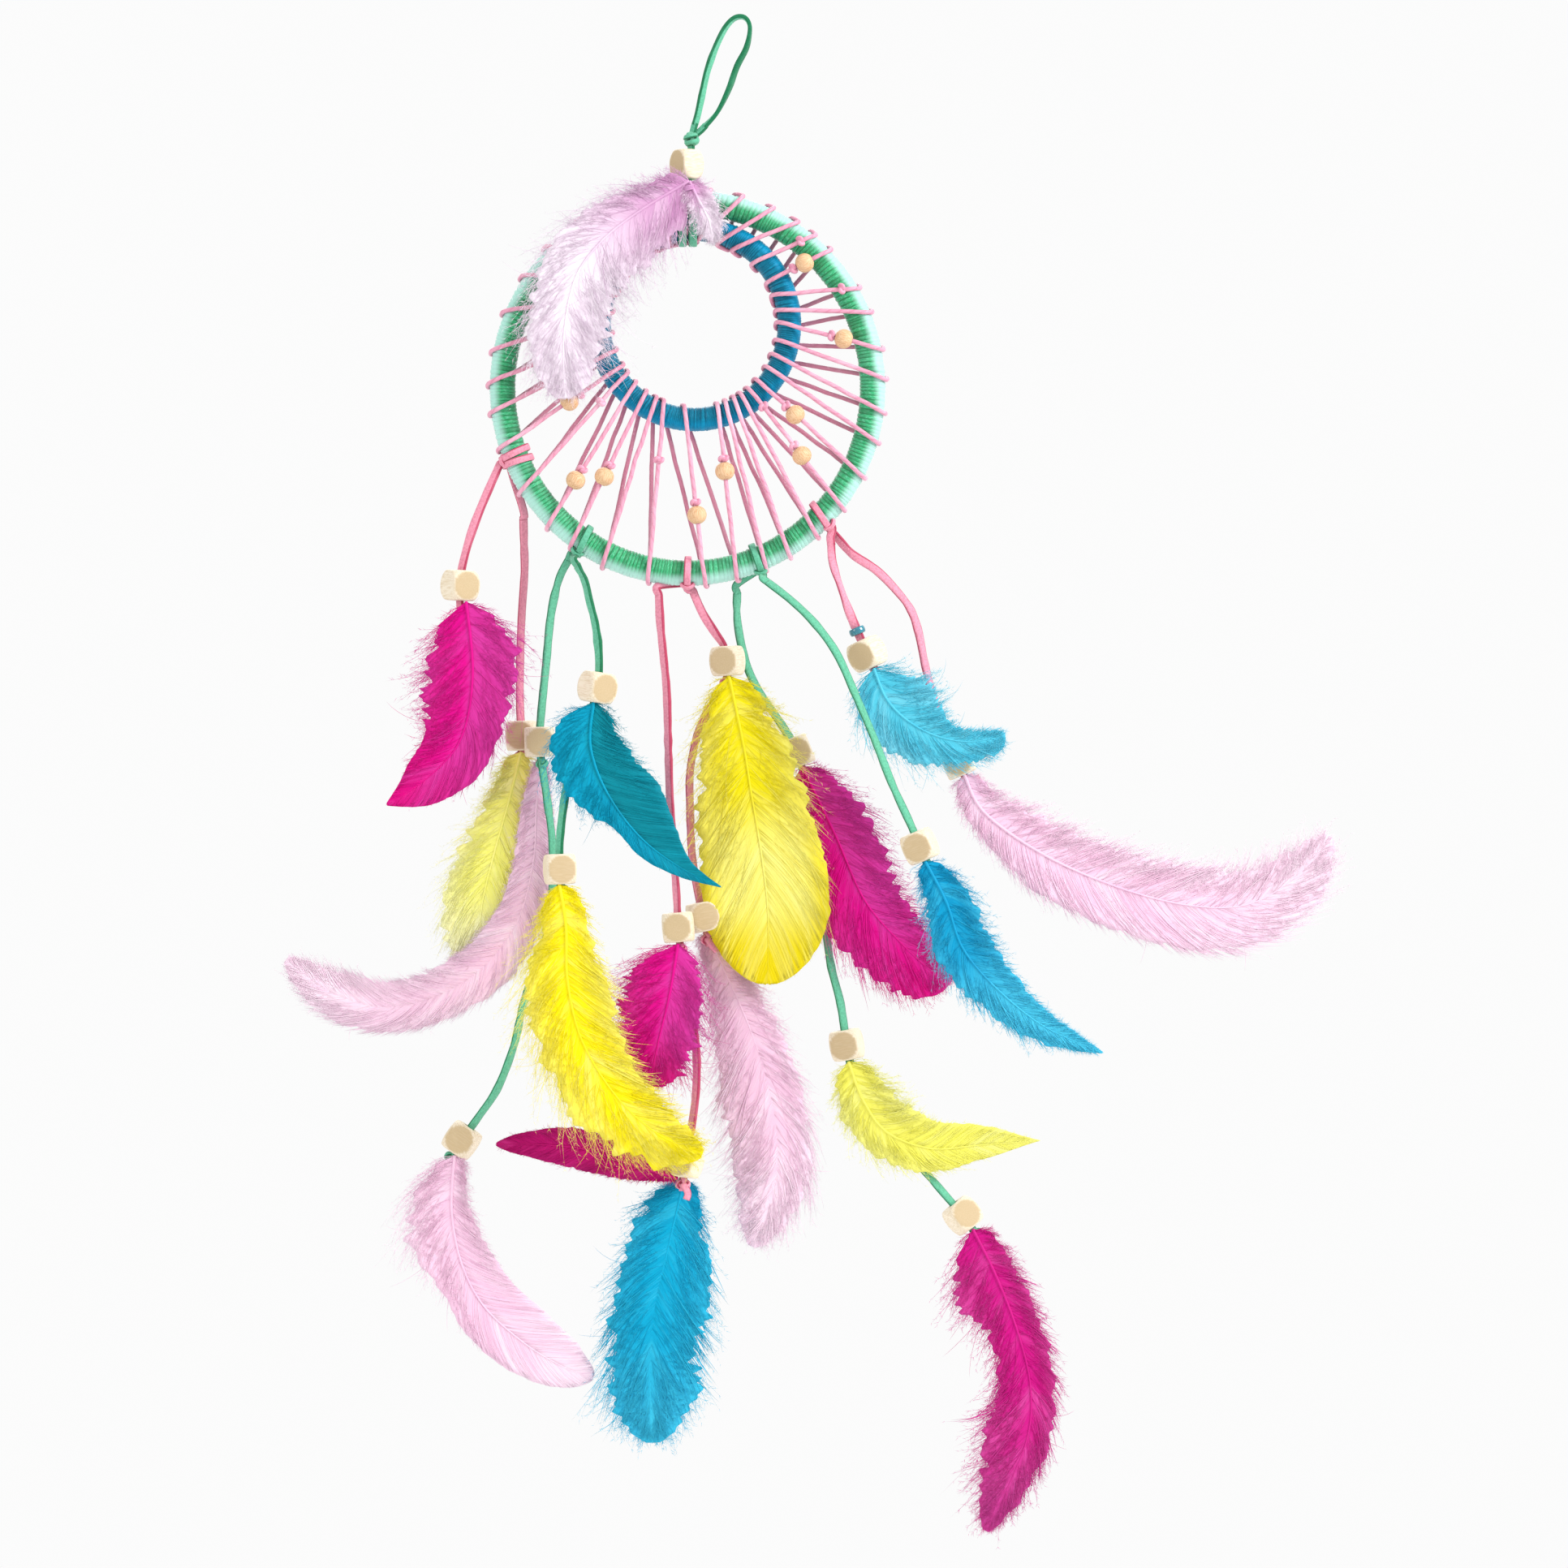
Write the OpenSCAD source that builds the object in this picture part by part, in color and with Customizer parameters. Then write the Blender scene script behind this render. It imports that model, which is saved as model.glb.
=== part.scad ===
// Hanging dream catcher: two thread-wrapped hoops joined by a zig-zag lacing,
// with ten suede lace tails that carry cube beads and dyed feathers.
// It hangs in the XZ plane with its front towards -Y. The origin is where the
// hook sits, inside the top of the hanging loop.

/* [Hoops] */
// Outside diameter of the large hoop, wrapped
outer_hoop_od = 122; // [110:1:128]
// Thickness of the large hoop, wrapped
outer_tube_d = 8; // [7:0.5:8.5]
// Outside diameter of the small hoop, wrapped
inner_hoop_od = 66; // [52:1:74]
// Thickness of the small hoop, wrapped
inner_tube_d = 7.4; // [6:0.2:8]
// Thickness of the thread wound on both hoops
wrap_t = 1; // [0.6:0.1:1.4]
// How far the small hoop's touching point is turned from the top
hoop_turn = 6; // [0:1:20]

/* [Lacing] */
// Diameter of the waxed cord laced between the hoops
lacing_d = 1.8; // [1:0.1:2]
// Diameter of the round beads on the lacing
web_bead_d = 6; // [4:0.5:6.5]
// Diameter of the hole through each round bead
web_bead_bore = 2.2; // [2.1:0.1:2.8]

/* [Laces and cube beads] */
// Width of the suede lace
lace_w = 3; // [2:0.1:3.4]
// Thickness of the suede lace
lace_t = 1.5; // [1:0.1:1.8]
// Side of the rounded cube beads
cube_bead = 9.5; // [8:0.5:11.5]
// Diameter of the sphere that rounds off the cube beads' corners
cube_bead_round = 12.6; // [11.8:0.2:15.6]
// Diameter of the hole through each cube bead
cube_bead_bore = 4.4; // [3.8:0.1:5.4]
// Diameter of the knots tied in the lace
knot_d = 5; // [4:0.1:5.6]

/* [Feathers] */
// Thickness of a feather's vane
feather_t = 1; // [0.6:0.1:1.4]
// Width of the bare quill
quill_w = 1.6; // [1:0.1:2.4]

/* [Clearances] */
// Gap between pieces that turn or swing past each other
swing_gap = 0.5; // [0.3:0.1:1]
// Gap between pieces that lie side by side on one body
seat_gap = 0.1; // [0.05:0.05:0.3]
// Gap between a straight lace strap and the curved hoop inside it
strap_gap = 0.3; // [0.3:0.1:0.6]

/* [Hidden] */
$fn = 48;
outer_r = outer_hoop_od / 2 - outer_tube_d / 2;
inner_r = inner_hoop_od / 2 - inner_tube_d / 2;
outer_c = [-16.2, -112];
hoop_offset = outer_r - outer_tube_d / 2 - inner_hoop_od / 2 - 3 * seat_gap;
inner_c = outer_c + hoop_offset * [sin(hoop_turn), cos(hoop_turn)];
lacing_r = lacing_d / 2;
lace_r = lace_w / 2;
knot_r = knot_d / 2;
tube_sides = 8;

// Depth of the plane that each tail hangs in, front to back
layer = cube_bead + swing_gap;
first = -1.5 * layer;
second = -0.5 * layer;
third = 0.5 * layer;
fourth = 1.5 * layer;

PINK = "lightpink";
GREEN = "mediumseagreen";

// Tail laces from the hitch to the tip: name, colour, plane, and points
// [x, z], or [x, z, radius] where the lace is knotted
LACES = [
    ["a1", PINK, second, [[-75, -138], [-78, -145], [-81, -152.5], [-83.5, -160], [-85.5, -168],
        [-86, -173], [-86, -179, knot_r], [-85.5, -182, knot_r], [-85, -184]]],
    ["a2", PINK, fourth, [[-67, -152], [-67, -159], [-67, -168], [-68, -182], [-68.5, -197],
        [-68.5, -210], [-68, -219], [-68, -225, knot_r], [-68, -228]]],
    ["b1", GREEN, third, [[-53, -165], [-56, -171], [-58.5, -182], [-60, -197], [-61.5, -212],
        [-62, -221], [-61, -230], [-59.5, -240], [-58, -253], [-58, -267], [-59, -278],
        [-63, -290], [-67, -302], [-70, -315], [-75, -328], [-81, -337], [-86, -344],
        [-89, -349, knot_r], [-90, -351]]],
    ["b2", GREEN, first, [[-50, -167], [-47.5, -172], [-46, -178], [-44, -186], [-43, -196],
        [-43.5, -204.5], [-45.5, -212], [-49, -220], [-52, -230], [-54, -242], [-55, -252],
        [-55, -260], [-54.5, -266, knot_r], [-54, -269]]],
    ["c1", PINK, second, [[-25, -176], [-24.5, -185], [-23.5, -195], [-22.5, -206], [-22, -224],
        [-21.5, -240], [-20.5, -255], [-19.5, -268], [-19, -278], [-18, -286], [-15.5, -300],
        [-13.5, -315], [-13.5, -328], [-15, -340], [-17, -350], [-17.5, -356.5, knot_r],
        [-17.5, -359]]],
    ["c2", PINK, third, [[-14, -176], [-11.5, -181.5], [-8, -187], [-5, -191.5], [-4, -196],
        [-4.5, -203], [-9, -210], [-13, -218], [-15.5, -230], [-15.5, -242], [-15, -255],
        [-13.5, -265], [-11.5, -275], [-10, -281.5, knot_r], [-9.5, -284]]],
    ["d1", GREEN, fourth, [[-1, -175], [-1, -183], [0.5, -192], [3, -200], [7.5, -208],
        [13, -216], [17.5, -224], [20, -233], [22, -245], [24, -258], [26, -275], [28, -290],
        [31, -302], [33, -315], [35, -324], [39, -331], [44.5, -339], [51, -347], [57, -354],
        [63, -361], [69, -368], [73, -373.5, knot_r], [75, -376]]],
    ["d2", GREEN, first, [[8.5, -172], [16, -178], [23, -185], [29.5, -194], [35, -206],
        [41, -220], [46.5, -234], [52, -246], [55, -253], [57.5, -259, knot_r], [58.5, -262]]],
    ["e1", PINK, second, [[28, -160], [28.5, -166], [31, -174], [33.5, -181], [36, -187],
        [39, -194], [42, -200.5, knot_r], [43, -203]]],
    ["e2", PINK, third, [[29.5, -157.5], [34.5, -163], [42, -168], [48, -174], [52.5, -180],
        [55, -187], [57, -197], [59.5, -207], [63, -217], [67, -227], [70, -233, knot_r],
        [71, -235.5]]],
];

// Cube beads: name, its lace, and the route point that it is threaded at
CUBE_BEADS = [
    ["a1", "a1", 5], ["a2", "a2", 6], ["b1_upper", "b1", 5], ["b1_lower", "b1", 16],
    ["b2_upper", "b2", 5], ["b2_lower", "b2", 11], ["c1_upper", "c1", 8],
    ["c1_lower", "c1", 14], ["c2_upper", "c2", 4], ["c2_lower", "c2", 12],
    ["d1_upper", "d1", 6], ["d1_middle", "d1", 13], ["d1_lower", "d1", 20],
    ["d2", "d2", 8], ["e1", "e1", 5], ["e2", "e2", 9],
];

// Feathers: name, colour, its bead, side of the lace (-1 front, 1 back), half
// widths left and right of the quill, and points [x, z] from the bead to the tip
FEATHERS = [
    ["a1", "deeppink", "a1", -1, 14, 9,
        [[-82, -196], [-81, -211], [-86, -226], [-96, -236], [-108, -240]]],
    ["a2", "khaki", "a2", -1, 14, 10,
        [[-68.5, -232], [-72, -252], [-77, -275], [-81, -297]]],
    ["b1_upper", "pink", "b1_upper", 1, 7, 8,
        [[-60.5, -240], [-62.5, -262], [-72, -278], [-89, -290], [-108, -297],
         [-127, -297], [-142, -289]]],
    ["b1_lower", "pink", "b1_lower", -1, 10, 7,
        [[-89, -362], [-86, -379], [-78, -397], [-64, -408], [-45, -413]]],
    ["b2_upper", "darkcyan", "b2_upper", -1, 9, 10,
        [[-46, -222], [-41, -238], [-31, -252], [-18, -261], [-6, -265]]],
    ["b2_lower", "yellow", "b2_lower", -1, 14, 13,
        [[-53, -282], [-49, -304], [-38, -325], [-22, -340], [-9, -350]]],
    ["c1_upper", "mediumvioletred", "c1_upper", -1, 15, 13,
        [[-20, -290], [-23, -305], [-26, -318], [-28, -330]]],
    ["c1_side", "mediumvioletred", "c1_lower", -1, 4, 5,
        [[-33, -352], [-48, -347], [-63, -344], [-76, -344]]],
    ["c1_lower", "deepskyblue", "c1_lower", 1, 17, 18,
        [[-20, -372], [-23, -398], [-25, -420], [-28, -441]]],
    ["c2_upper", "gold", "c2_upper", -1, 19, 20,
        [[1, -222], [6, -248], [8, -272], [8, -300]]],
    ["c2_lower", "pink", "c2_lower", 1, 14, 15,
        [[-4, -303], [5, -326], [9, -350], [3, -380]]],
    ["d1_upper", "mediumvioletred", "d1_upper", -1, 13, 12,
        [[26, -248], [36, -269], [50, -286], [68, -299]]],
    ["d1_middle", "yellow", "d1_middle", -1, 9, 8,
        [[41, -338], [53, -349], [72, -350], [94, -344]]],
    ["d1_lower", "mediumvioletred", "d1_lower", -1, 13, 12,
        [[75, -392], [83, -413], [87, -434], [84, -451], [76, -468]]],
    ["d2", "deepskyblue", "d2", -1, 9, 10,
        [[62, -275], [74, -294], [92, -308], [111, -316]]],
    ["e1", "turquoise", "e1", -1, 14, 11,
        [[46, -208], [53, -215], [66, -220], [82, -221]]],
    ["e2", "pink", "e2", -1, 12, 13,
        [[76, -247], [97, -260], [122, -271], [147, -277], [168, -270], [183, -250]]],
];

// The feather tied over the top of the hoop
top_spine = [[-16, -49], [-24, -59], [-34, -69], [-44, -84], [-51, -101], [-53, -119]];
top_half_w = [15, 18];
tie_d = 2.4;

// Share of a feather that is bare quill, how far its widest place lies towards
// the bead (below 1), and how round its outline is (smaller is rounder)
bare_share = 0.06;
vane_skew = 0.75;
vane_round = 0.6;

// Least cosine between a stretch of the lacing and the hoop's spoke, which keeps
// the wraps of slanting stretches short
least_lean = 0.6;

// One turn of the lacing on each line: the clock angle of its wrap on the small
// hoop, that of its wrap on the large hoop, and the share of the front
// stretch between them at which a round bead sits, if it has one
TURNS = [
    [9, 14], [22, 23], [33, 31], [47, 38], [61, 45, 0.66], [72, 58], [82, 66],
    [91, 77, 0.69], [102, 86], [112, 96], [121, 105], [132, 116, 0.34], [140, 127, 0.58],
    [147, 138], [153, 148], [159, 156], [165, 165, 0.37], [185, 175, 0.63], [199, 192],
    [206, 206], [214, 217, 0.56], [223, 226, 0.71], [232, 239], [239, 253, 0.42],
    [250, 264], [261, 273], [274, 283], [286, 295], [298, 307], [310, 318], [321, 330],
    [332, 343], [345, 355], [357, 5],
];

// Clock angles on the large hoop of the five lace hitches, left to right
HITCHES = [["a", PINK, 248], ["b", GREEN, 214], ["c", PINK, 180], ["d", GREEN, 158], ["e", PINK, 134]];

// Hanging loop from one side of its knot, over the hook and back
loop_route = [[-14, -31], [-13, -27.5], [-11.5, -20.5], [-10, -14], [-7.5, -7], [-4.5, -1],
    [-1.5, 2], [1.5, 2], [3, -1], [2, -7], [-1, -13], [-3.5, -20], [-7, -27], [-11, -31.5]];
knot_c = [-15, -35.5];
loop_bead_c = [-16.5, knot_c.y - knot_r - swing_gap - cube_bead / 2];
hoop_top = outer_c.y + outer_hoop_od / 2;

// The tiny bead threaded on the right-hand pink tail
seed_d = 5;
seed_w = 2.2;
seed_gap = 0.3;
seed_point = 4;
seed_lace = "e1";

function named(table, name) = [for (row = table) if (row[0] == name) row][0];
function unit(v) = v / norm(v);
function clock(centre, radius, angle) = centre + radius * [sin(angle), cos(angle)];

// A tail starts near the middle of the hoop and moves out to its own plane
function depth(plane, i) = plane * min(1, 0.35 + 0.25 * i);
function tail_points(lace) = [for (i = [0:len(lace[3]) - 1])
    let (p = lace[3][i]) [p.x, depth(lace[2], i), p.y, p[2] == undef ? lace_r : p[2]]];

// Smooth curve through the points, with extra rings between each pair
function blend(a, b, c, d, t) = 0.5 * ((2 * b) + (c - a) * t + (2 * a - 5 * b + 4 * c - d) * t * t
    + (3 * b - a - 3 * c + d) * t * t * t);
function smooth(points, steps) = let (last = len(points) - 1) concat(
    [for (i = [0:last - 1], k = [0:steps - 1])
        blend(points[max(i - 1, 0)], points[i], points[i + 1], points[min(i + 2, last)], k / steps)],
    [points[last]]);

// Tangents of a path, and one normal for each that turns as little as it can
function xyz(p) = [p.x, p.y, p.z];
function tangents(path) = let (last = len(path) - 1)
    [for (i = [0:last]) unit(xyz(path[min(i + 1, last)]) - xyz(path[max(i - 1, 0)]))];
function square_to(n, t) = unit(n - (n * t) * t);
function normals(ts, start) = [for (i = 0, n = square_to(start, ts[0]); i < len(ts);
    i = i + 1, n = i < len(ts) ? square_to(n, ts[i]) : n) n];

// A closed tube along points [x, y, z, radius]
module tube(path, start = [0, 1, 0]) {
    ts = tangents(path);
    ns = normals(ts, start);
    rings = len(path);
    points = [for (i = [0:rings - 1], k = [0:tube_sides - 1])
        let (a = 360 * k / tube_sides)
        xyz(path[i]) + path[i][3] * (cos(a) * ns[i] + sin(a) * cross(ts[i], ns[i]))];
    sides = [for (i = [0:rings - 2], k = [0:tube_sides - 1])
        let (here = i * tube_sides, next = here + tube_sides, j = (k + 1) % tube_sides)
        [here + k, next + k, next + j, here + j]];
    near = [for (k = [0:tube_sides - 1]) k];
    far = [for (k = [tube_sides - 1:-1:0]) (rings - 1) * tube_sides + k];
    polyhedron(points, concat(sides, [near, far]), convexity = 10);
}

// A ring lying in the XZ plane
module in_plane(centre) {
    translate([centre.x, 0, centre.y]) rotate([90, 0, 0]) children();
}
module hoop_core(centre, radius, tube_d) {
    in_plane(centre) rotate_extrude($fn = 96)
        translate([radius, 0]) circle(d = tube_d - 2 * wrap_t - 2 * seat_gap);
}
module hoop_wrap(centre, radius, tube_d) {
    in_plane(centre) rotate_extrude($fn = 96) translate([radius, 0]) difference() {
        circle(d = tube_d);
        circle(d = tube_d - 2 * wrap_t);
    }
}

// Lacing: half a wrap over a hoop's tube, seen along the stretch that it ends
function over(mid, along, out, tube_d, share, side) =
    let (r = tube_d / 2 + lacing_r, reach = r * share / max(least_lean, abs(along * out)))
    [mid.x + along.x * reach, side * r * sqrt(1 - share * share), mid.y + along.y * reach, lacing_r];
function stretch(turn, small, large, side) =
    let (i = clock(inner_c, inner_r, small), o = clock(outer_c, outer_r, large),
         along = unit(o - i), out_i = unit(i - inner_c), out_o = unit(o - outer_c), s = sqrt(0.5))
    [over(i, along, out_i, inner_tube_d, -s, side), over(i, along, out_i, inner_tube_d, 0, side),
     over(o, along, out_o, outer_tube_d, 0, side), over(o, along, out_o, outer_tube_d, s, side)];
function rim(centre, radius, angle, r) = let (p = clock(centre, radius + r, angle)) [p.x, 0, p.y, lacing_r];
function backwards(list) = [for (i = [len(list) - 1:-1:0]) list[i]];
lacing_route = [for (n = [0:len(TURNS) - 1])
    let (t = TURNS[n], next = TURNS[min(n + 1, len(TURNS) - 1)])
    for (p = concat([rim(inner_c, inner_r, t[0], -inner_tube_d / 2 - lacing_r)],
        stretch(n, t[0], t[1], -1),
        n == len(TURNS) - 1 ? [] : concat([rim(outer_c, outer_r, t[1], outer_tube_d / 2 + lacing_r)],
        backwards(stretch(n, next[0], t[1], 1))))) p];

module outer_hoop_core() { color("burlywood") hoop_core(outer_c, outer_r, outer_tube_d); }
module outer_hoop_wrap() { color(GREEN) hoop_wrap(outer_c, outer_r, outer_tube_d); }
module inner_hoop_core() { color("burlywood") hoop_core(inner_c, inner_r, inner_tube_d); }
module inner_hoop_wrap() { color("teal") hoop_wrap(inner_c, inner_r, inner_tube_d); }
module web_lacing() { color(PINK) tube(lacing_route, [1, 0, 0]); }

// Round beads threaded on the front stretches of the lacing
module web_beads() {
    color("tan") for (t = TURNS) if (t[2] != undef) {
        ends = stretch(0, t[0], t[1], -1);
        a = xyz(ends[1]);
        b = xyz(ends[2]);
        along = unit(b - a);
        translate(a + t[2] * (b - a))
            rotate([0, acos(along.z), atan2(along.y, along.x)]) difference() {
                sphere(d = web_bead_d);
                cylinder(d = web_bead_bore, h = 2 * web_bead_d, center = true);
            }
    }
}

// Two strands of flat lace side by side round the hoop, and the bight that crosses them
module hitch(angle, colour) {
    inside = outer_tube_d / 2 + strap_gap;
    strand = lace_w + seat_gap;
    color(colour) translate([outer_c.x, 0, outer_c.y]) rotate([0, angle, 0]) translate([0, 0, outer_r])
        rotate([0, 90, 0]) difference() {
            union() {
                cylinder(r = inside + lace_t, h = 2 * strand, center = true);
                translate([0, -inside - lace_t, 0])
                    cube([lace_w, 2 * lace_t, 2 * strand + lace_w], center = true);
            }
            cylinder(r = inside, h = 3 * strand + lace_w, center = true);
        }
}

// The lower end of the hanging loop: a strap round both hoops where they touch,
// and a stem that goes up through the loop's bead
module strap_outline(grow) {
    top = outer_c.y + outer_r;
    low = inner_c.y + inner_r;
    wide = outer_tube_d / 2 + strap_gap + grow;
    translate([0, top]) circle(r = wide);
    translate([0, low]) circle(r = wide);
    translate([-wide, low]) square([2 * wide, top - low]);
}
module hitch_top() {
    foot = hoop_top + strap_gap + lace_t / 2;
    stem_top = knot_c.y - knot_r - swing_gap;
    color(GREEN) {
        translate([outer_c.x - lace_w, 0, 0]) rotate([90, 0, 90]) linear_extrude(2 * lace_w) difference() {
            strap_outline(lace_t);
            strap_outline(0);
        }
        translate([loop_bead_c.x, 0, foot]) cylinder(d = lace_w, h = stem_top - foot);
    }
}
module loop_knot() {
    color(GREEN) translate([knot_c.x, 0, knot_c.y]) sphere(r = knot_r);
}
module hanging_loop() {
    color(GREEN) tube(smooth([for (p = loop_route) [p.x, 0, p.y, lace_r]], 2));
}

// A cube with its corners rounded off by a sphere, bored along the lace
module cube_bead_at(centre, tilt) {
    color("wheat") translate(centre) rotate([0, tilt, 0]) difference() {
        intersection() {
            cube(cube_bead, center = true);
            sphere(d = cube_bead_round);
        }
        cylinder(d = cube_bead_bore, h = 2 * cube_bead, center = true);
    }
}
module loop_bead() { cube_bead_at([loop_bead_c.x, 0, loop_bead_c.y], 0); }

// Where a bead sits on its lace: centre, direction of the lace, and plane
function seat(bead) = let (lace = named(LACES, bead[1]), n = bead[2], p = lace[3],
    down = unit([p[n + 1].x - p[n - 1].x, p[n + 1].y - p[n - 1].y]))
    [[p[n].x, lace[2], p[n].y], down];
module tail_bead(bead) {
    s = seat(bead);
    cube_bead_at(s[0], atan2(s[1].x, s[1].y));
}
module seed_bead() {
    p = named(LACES, seed_lace)[3];
    n = seed_point;
    way = p[n + 1] - p[n - 1];
    color("teal") translate([p[n].x, depth(named(LACES, seed_lace)[2], n), p[n].y])
        rotate([0, atan2(way.x, way.y), 0]) difference() {
            cylinder(d = seed_d, h = seed_w, center = true);
            cylinder(d = lace_w + 2 * seed_gap, h = 2 * seed_w, center = true);
        }
}
module tail_lace(lace) { color(lace[1]) tube(smooth(tail_points(lace), 2)); }

// Half width of a feather at a share of its length: bare quill, full vane, round tip
function vane(share, half_w) = share < bare_share ? quill_w / 2
    : quill_w / 2 + (half_w - quill_w / 2)
        * pow(max(0, sin(180 * pow((share - bare_share) / (1 - bare_share), vane_skew))), vane_round);
module feather(spine, half_w, y) {
    path = smooth(spine, 3);
    last = len(path) - 1;
    flow = [for (i = [0:last]) unit(path[min(i + 1, last)] - path[max(i - 1, 0)])];
    edge = [for (side = [0, 1]) [for (i = [0:last])
        path[i] + (side == 0 ? 1 : -1) * vane(i / last, half_w[side]) * [flow[i].y, -flow[i].x]]];
    translate([0, y + feather_t / 2, 0]) rotate([90, 0, 0]) linear_extrude(feather_t)
        polygon(concat(edge[0], backwards(edge[1])));
}
module tail_feather(f) {
    s = seat(named(CUBE_BEADS, f[2]));
    root = [s[0].x, s[0].z] + s[1] * (cube_bead / 2 + seat_gap);
    color(f[1]) feather(concat([root], f[6]), [f[4], f[5]],
        s[0].y + f[3] * (knot_r + feather_t / 2 + seat_gap));
}
// The top feather hangs in front of the web, on a thread tie behind its quill
module top_feather() {
    y = -(outer_tube_d / 2 + lacing_d + web_bead_d / 2 + feather_t);
    tie_end = outer_tube_d / 2 + strap_gap + lace_t + swing_gap;
    color("thistle") {
        feather(top_spine, top_half_w, y);
        translate([top_spine[0].x, -tie_end, top_spine[0].y]) rotate([90, 0, 0]) cylinder(d = tie_d, h = -y - tie_end);
    }
}

hanging_loop();
loop_knot();
loop_bead();
hitch_top();
outer_hoop_core();
outer_hoop_wrap();
inner_hoop_core();
inner_hoop_wrap();
web_lacing();
web_beads();
top_feather();
seed_bead();
for (h = HITCHES) hitch(h[2], h[1]);
for (l = LACES) tail_lace(l);
for (b = CUBE_BEADS) tail_bead(b);
for (f = FEATHERS) tail_feather(f);
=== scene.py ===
# Looks of the hanging dream catcher: wound hoops, laced web, suede tails, wooden beads and dyed feathers.
import math
import bpy
import numpy as np
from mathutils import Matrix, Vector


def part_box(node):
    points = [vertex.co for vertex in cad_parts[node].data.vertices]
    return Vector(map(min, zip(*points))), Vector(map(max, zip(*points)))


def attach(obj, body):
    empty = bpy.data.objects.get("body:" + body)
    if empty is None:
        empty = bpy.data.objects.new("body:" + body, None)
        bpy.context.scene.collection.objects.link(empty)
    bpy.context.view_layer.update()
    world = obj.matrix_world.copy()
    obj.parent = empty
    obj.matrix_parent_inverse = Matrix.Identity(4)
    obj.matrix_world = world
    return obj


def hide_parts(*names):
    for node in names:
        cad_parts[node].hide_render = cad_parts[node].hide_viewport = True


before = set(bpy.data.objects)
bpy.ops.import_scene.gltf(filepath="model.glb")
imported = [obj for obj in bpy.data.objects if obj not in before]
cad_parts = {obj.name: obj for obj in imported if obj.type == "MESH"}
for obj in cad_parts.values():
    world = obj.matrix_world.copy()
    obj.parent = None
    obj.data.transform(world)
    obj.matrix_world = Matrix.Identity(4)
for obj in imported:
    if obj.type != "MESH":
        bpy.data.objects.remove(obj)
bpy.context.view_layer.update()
mm = 0.001


# camera and light
view = {"distance": 1.8, "side": 0.483, "centreX": 0.0135, "centreZ": -0.2340, "sensor": 36.0}
studio = {"sky": 0.97, "aim": (0, 0, -0.22), "floorDepth": -0.60, "floorRadius": 0.55}
# place in metres, size and watts of each round lamp
lamps = {"key": ((1.5, -0.75, 0.75), 0.9, 36.0), "fill": ((-1.0, -0.9, 0.1), 0.7, 4.0),
         "back": ((-0.2, 1.1, 0.5), 0.8, 6.0)}


def dye(red, green, blue):
    # screen value to light: ((v + 0.055) / 1.055) to the power 2.4, or v / 12.92 near black
    out = []
    for value in (red, green, blue):
        v = value / 255
        out.append(v / 12.92 if v <= 0.04045 else ((v + 0.055) / 1.055) ** 2.4)
    return (*out, 1.0)


def makeCamera():
    lens = bpy.data.cameras.new("camera")
    lens.sensor_width = view["sensor"]
    lens.lens = view["sensor"] * view["distance"] / view["side"]
    lens.clip_end = 20
    camera = bpy.data.objects.new("camera", lens)
    camera.location = (view["centreX"], -view["distance"], view["centreZ"])
    camera.rotation_euler = (math.pi / 2, 0, 0)
    bpy.context.scene.collection.objects.link(camera)
    bpy.context.scene.camera = camera


def areaLight(name, place, target, size, watts):
    lamp = bpy.data.lights.new(name, "AREA")
    lamp.shape, lamp.size, lamp.energy = "DISK", size, watts
    holder = bpy.data.objects.new(name, lamp)
    way = np.array(target, float) - np.array(place, float)
    holder.location = place
    holder.rotation_euler = (math.acos(-way[2] / np.linalg.norm(way)), 0,
                             math.atan2(way[1], way[0]) - math.pi / 2)
    bpy.context.scene.collection.objects.link(holder)


def makeStudio():
    world = bpy.data.worlds.new("studio")
    world.use_nodes = True
    sky = world.node_tree.nodes["Background"]
    sky.inputs["Color"].default_value = (1.0, 1.0, 1.0, 1.0)
    sky.inputs["Strength"].default_value = studio["sky"]
    bpy.context.scene.world = world
    bpy.context.scene.view_settings.view_transform = "Standard"
    for name, (place, size, watts) in lamps.items():
        areaLight(name, place, studio["aim"], size, watts)


makeCamera()
makeStudio()
print("camera and light made")


# shader helpers
class Link:
    # one socket of a node; arithmetic on it adds Math nodes
    def __init__(self, look, socket):
        self.look, self.socket = look, socket

    def maths(self, operation, first, second=0.0):
        return self.look.node("Math", {"operation": operation}, {0: first, 1: second})

    def __add__(self, other):
        return self.maths("ADD", self, other)

    def __radd__(self, other):
        return self.maths("ADD", other, self)

    def __sub__(self, other):
        return self.maths("SUBTRACT", self, other)

    def __rsub__(self, other):
        return self.maths("SUBTRACT", other, self)

    def __mul__(self, other):
        return self.maths("MULTIPLY", self, other)

    def __rmul__(self, other):
        return self.maths("MULTIPLY", other, self)


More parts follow.
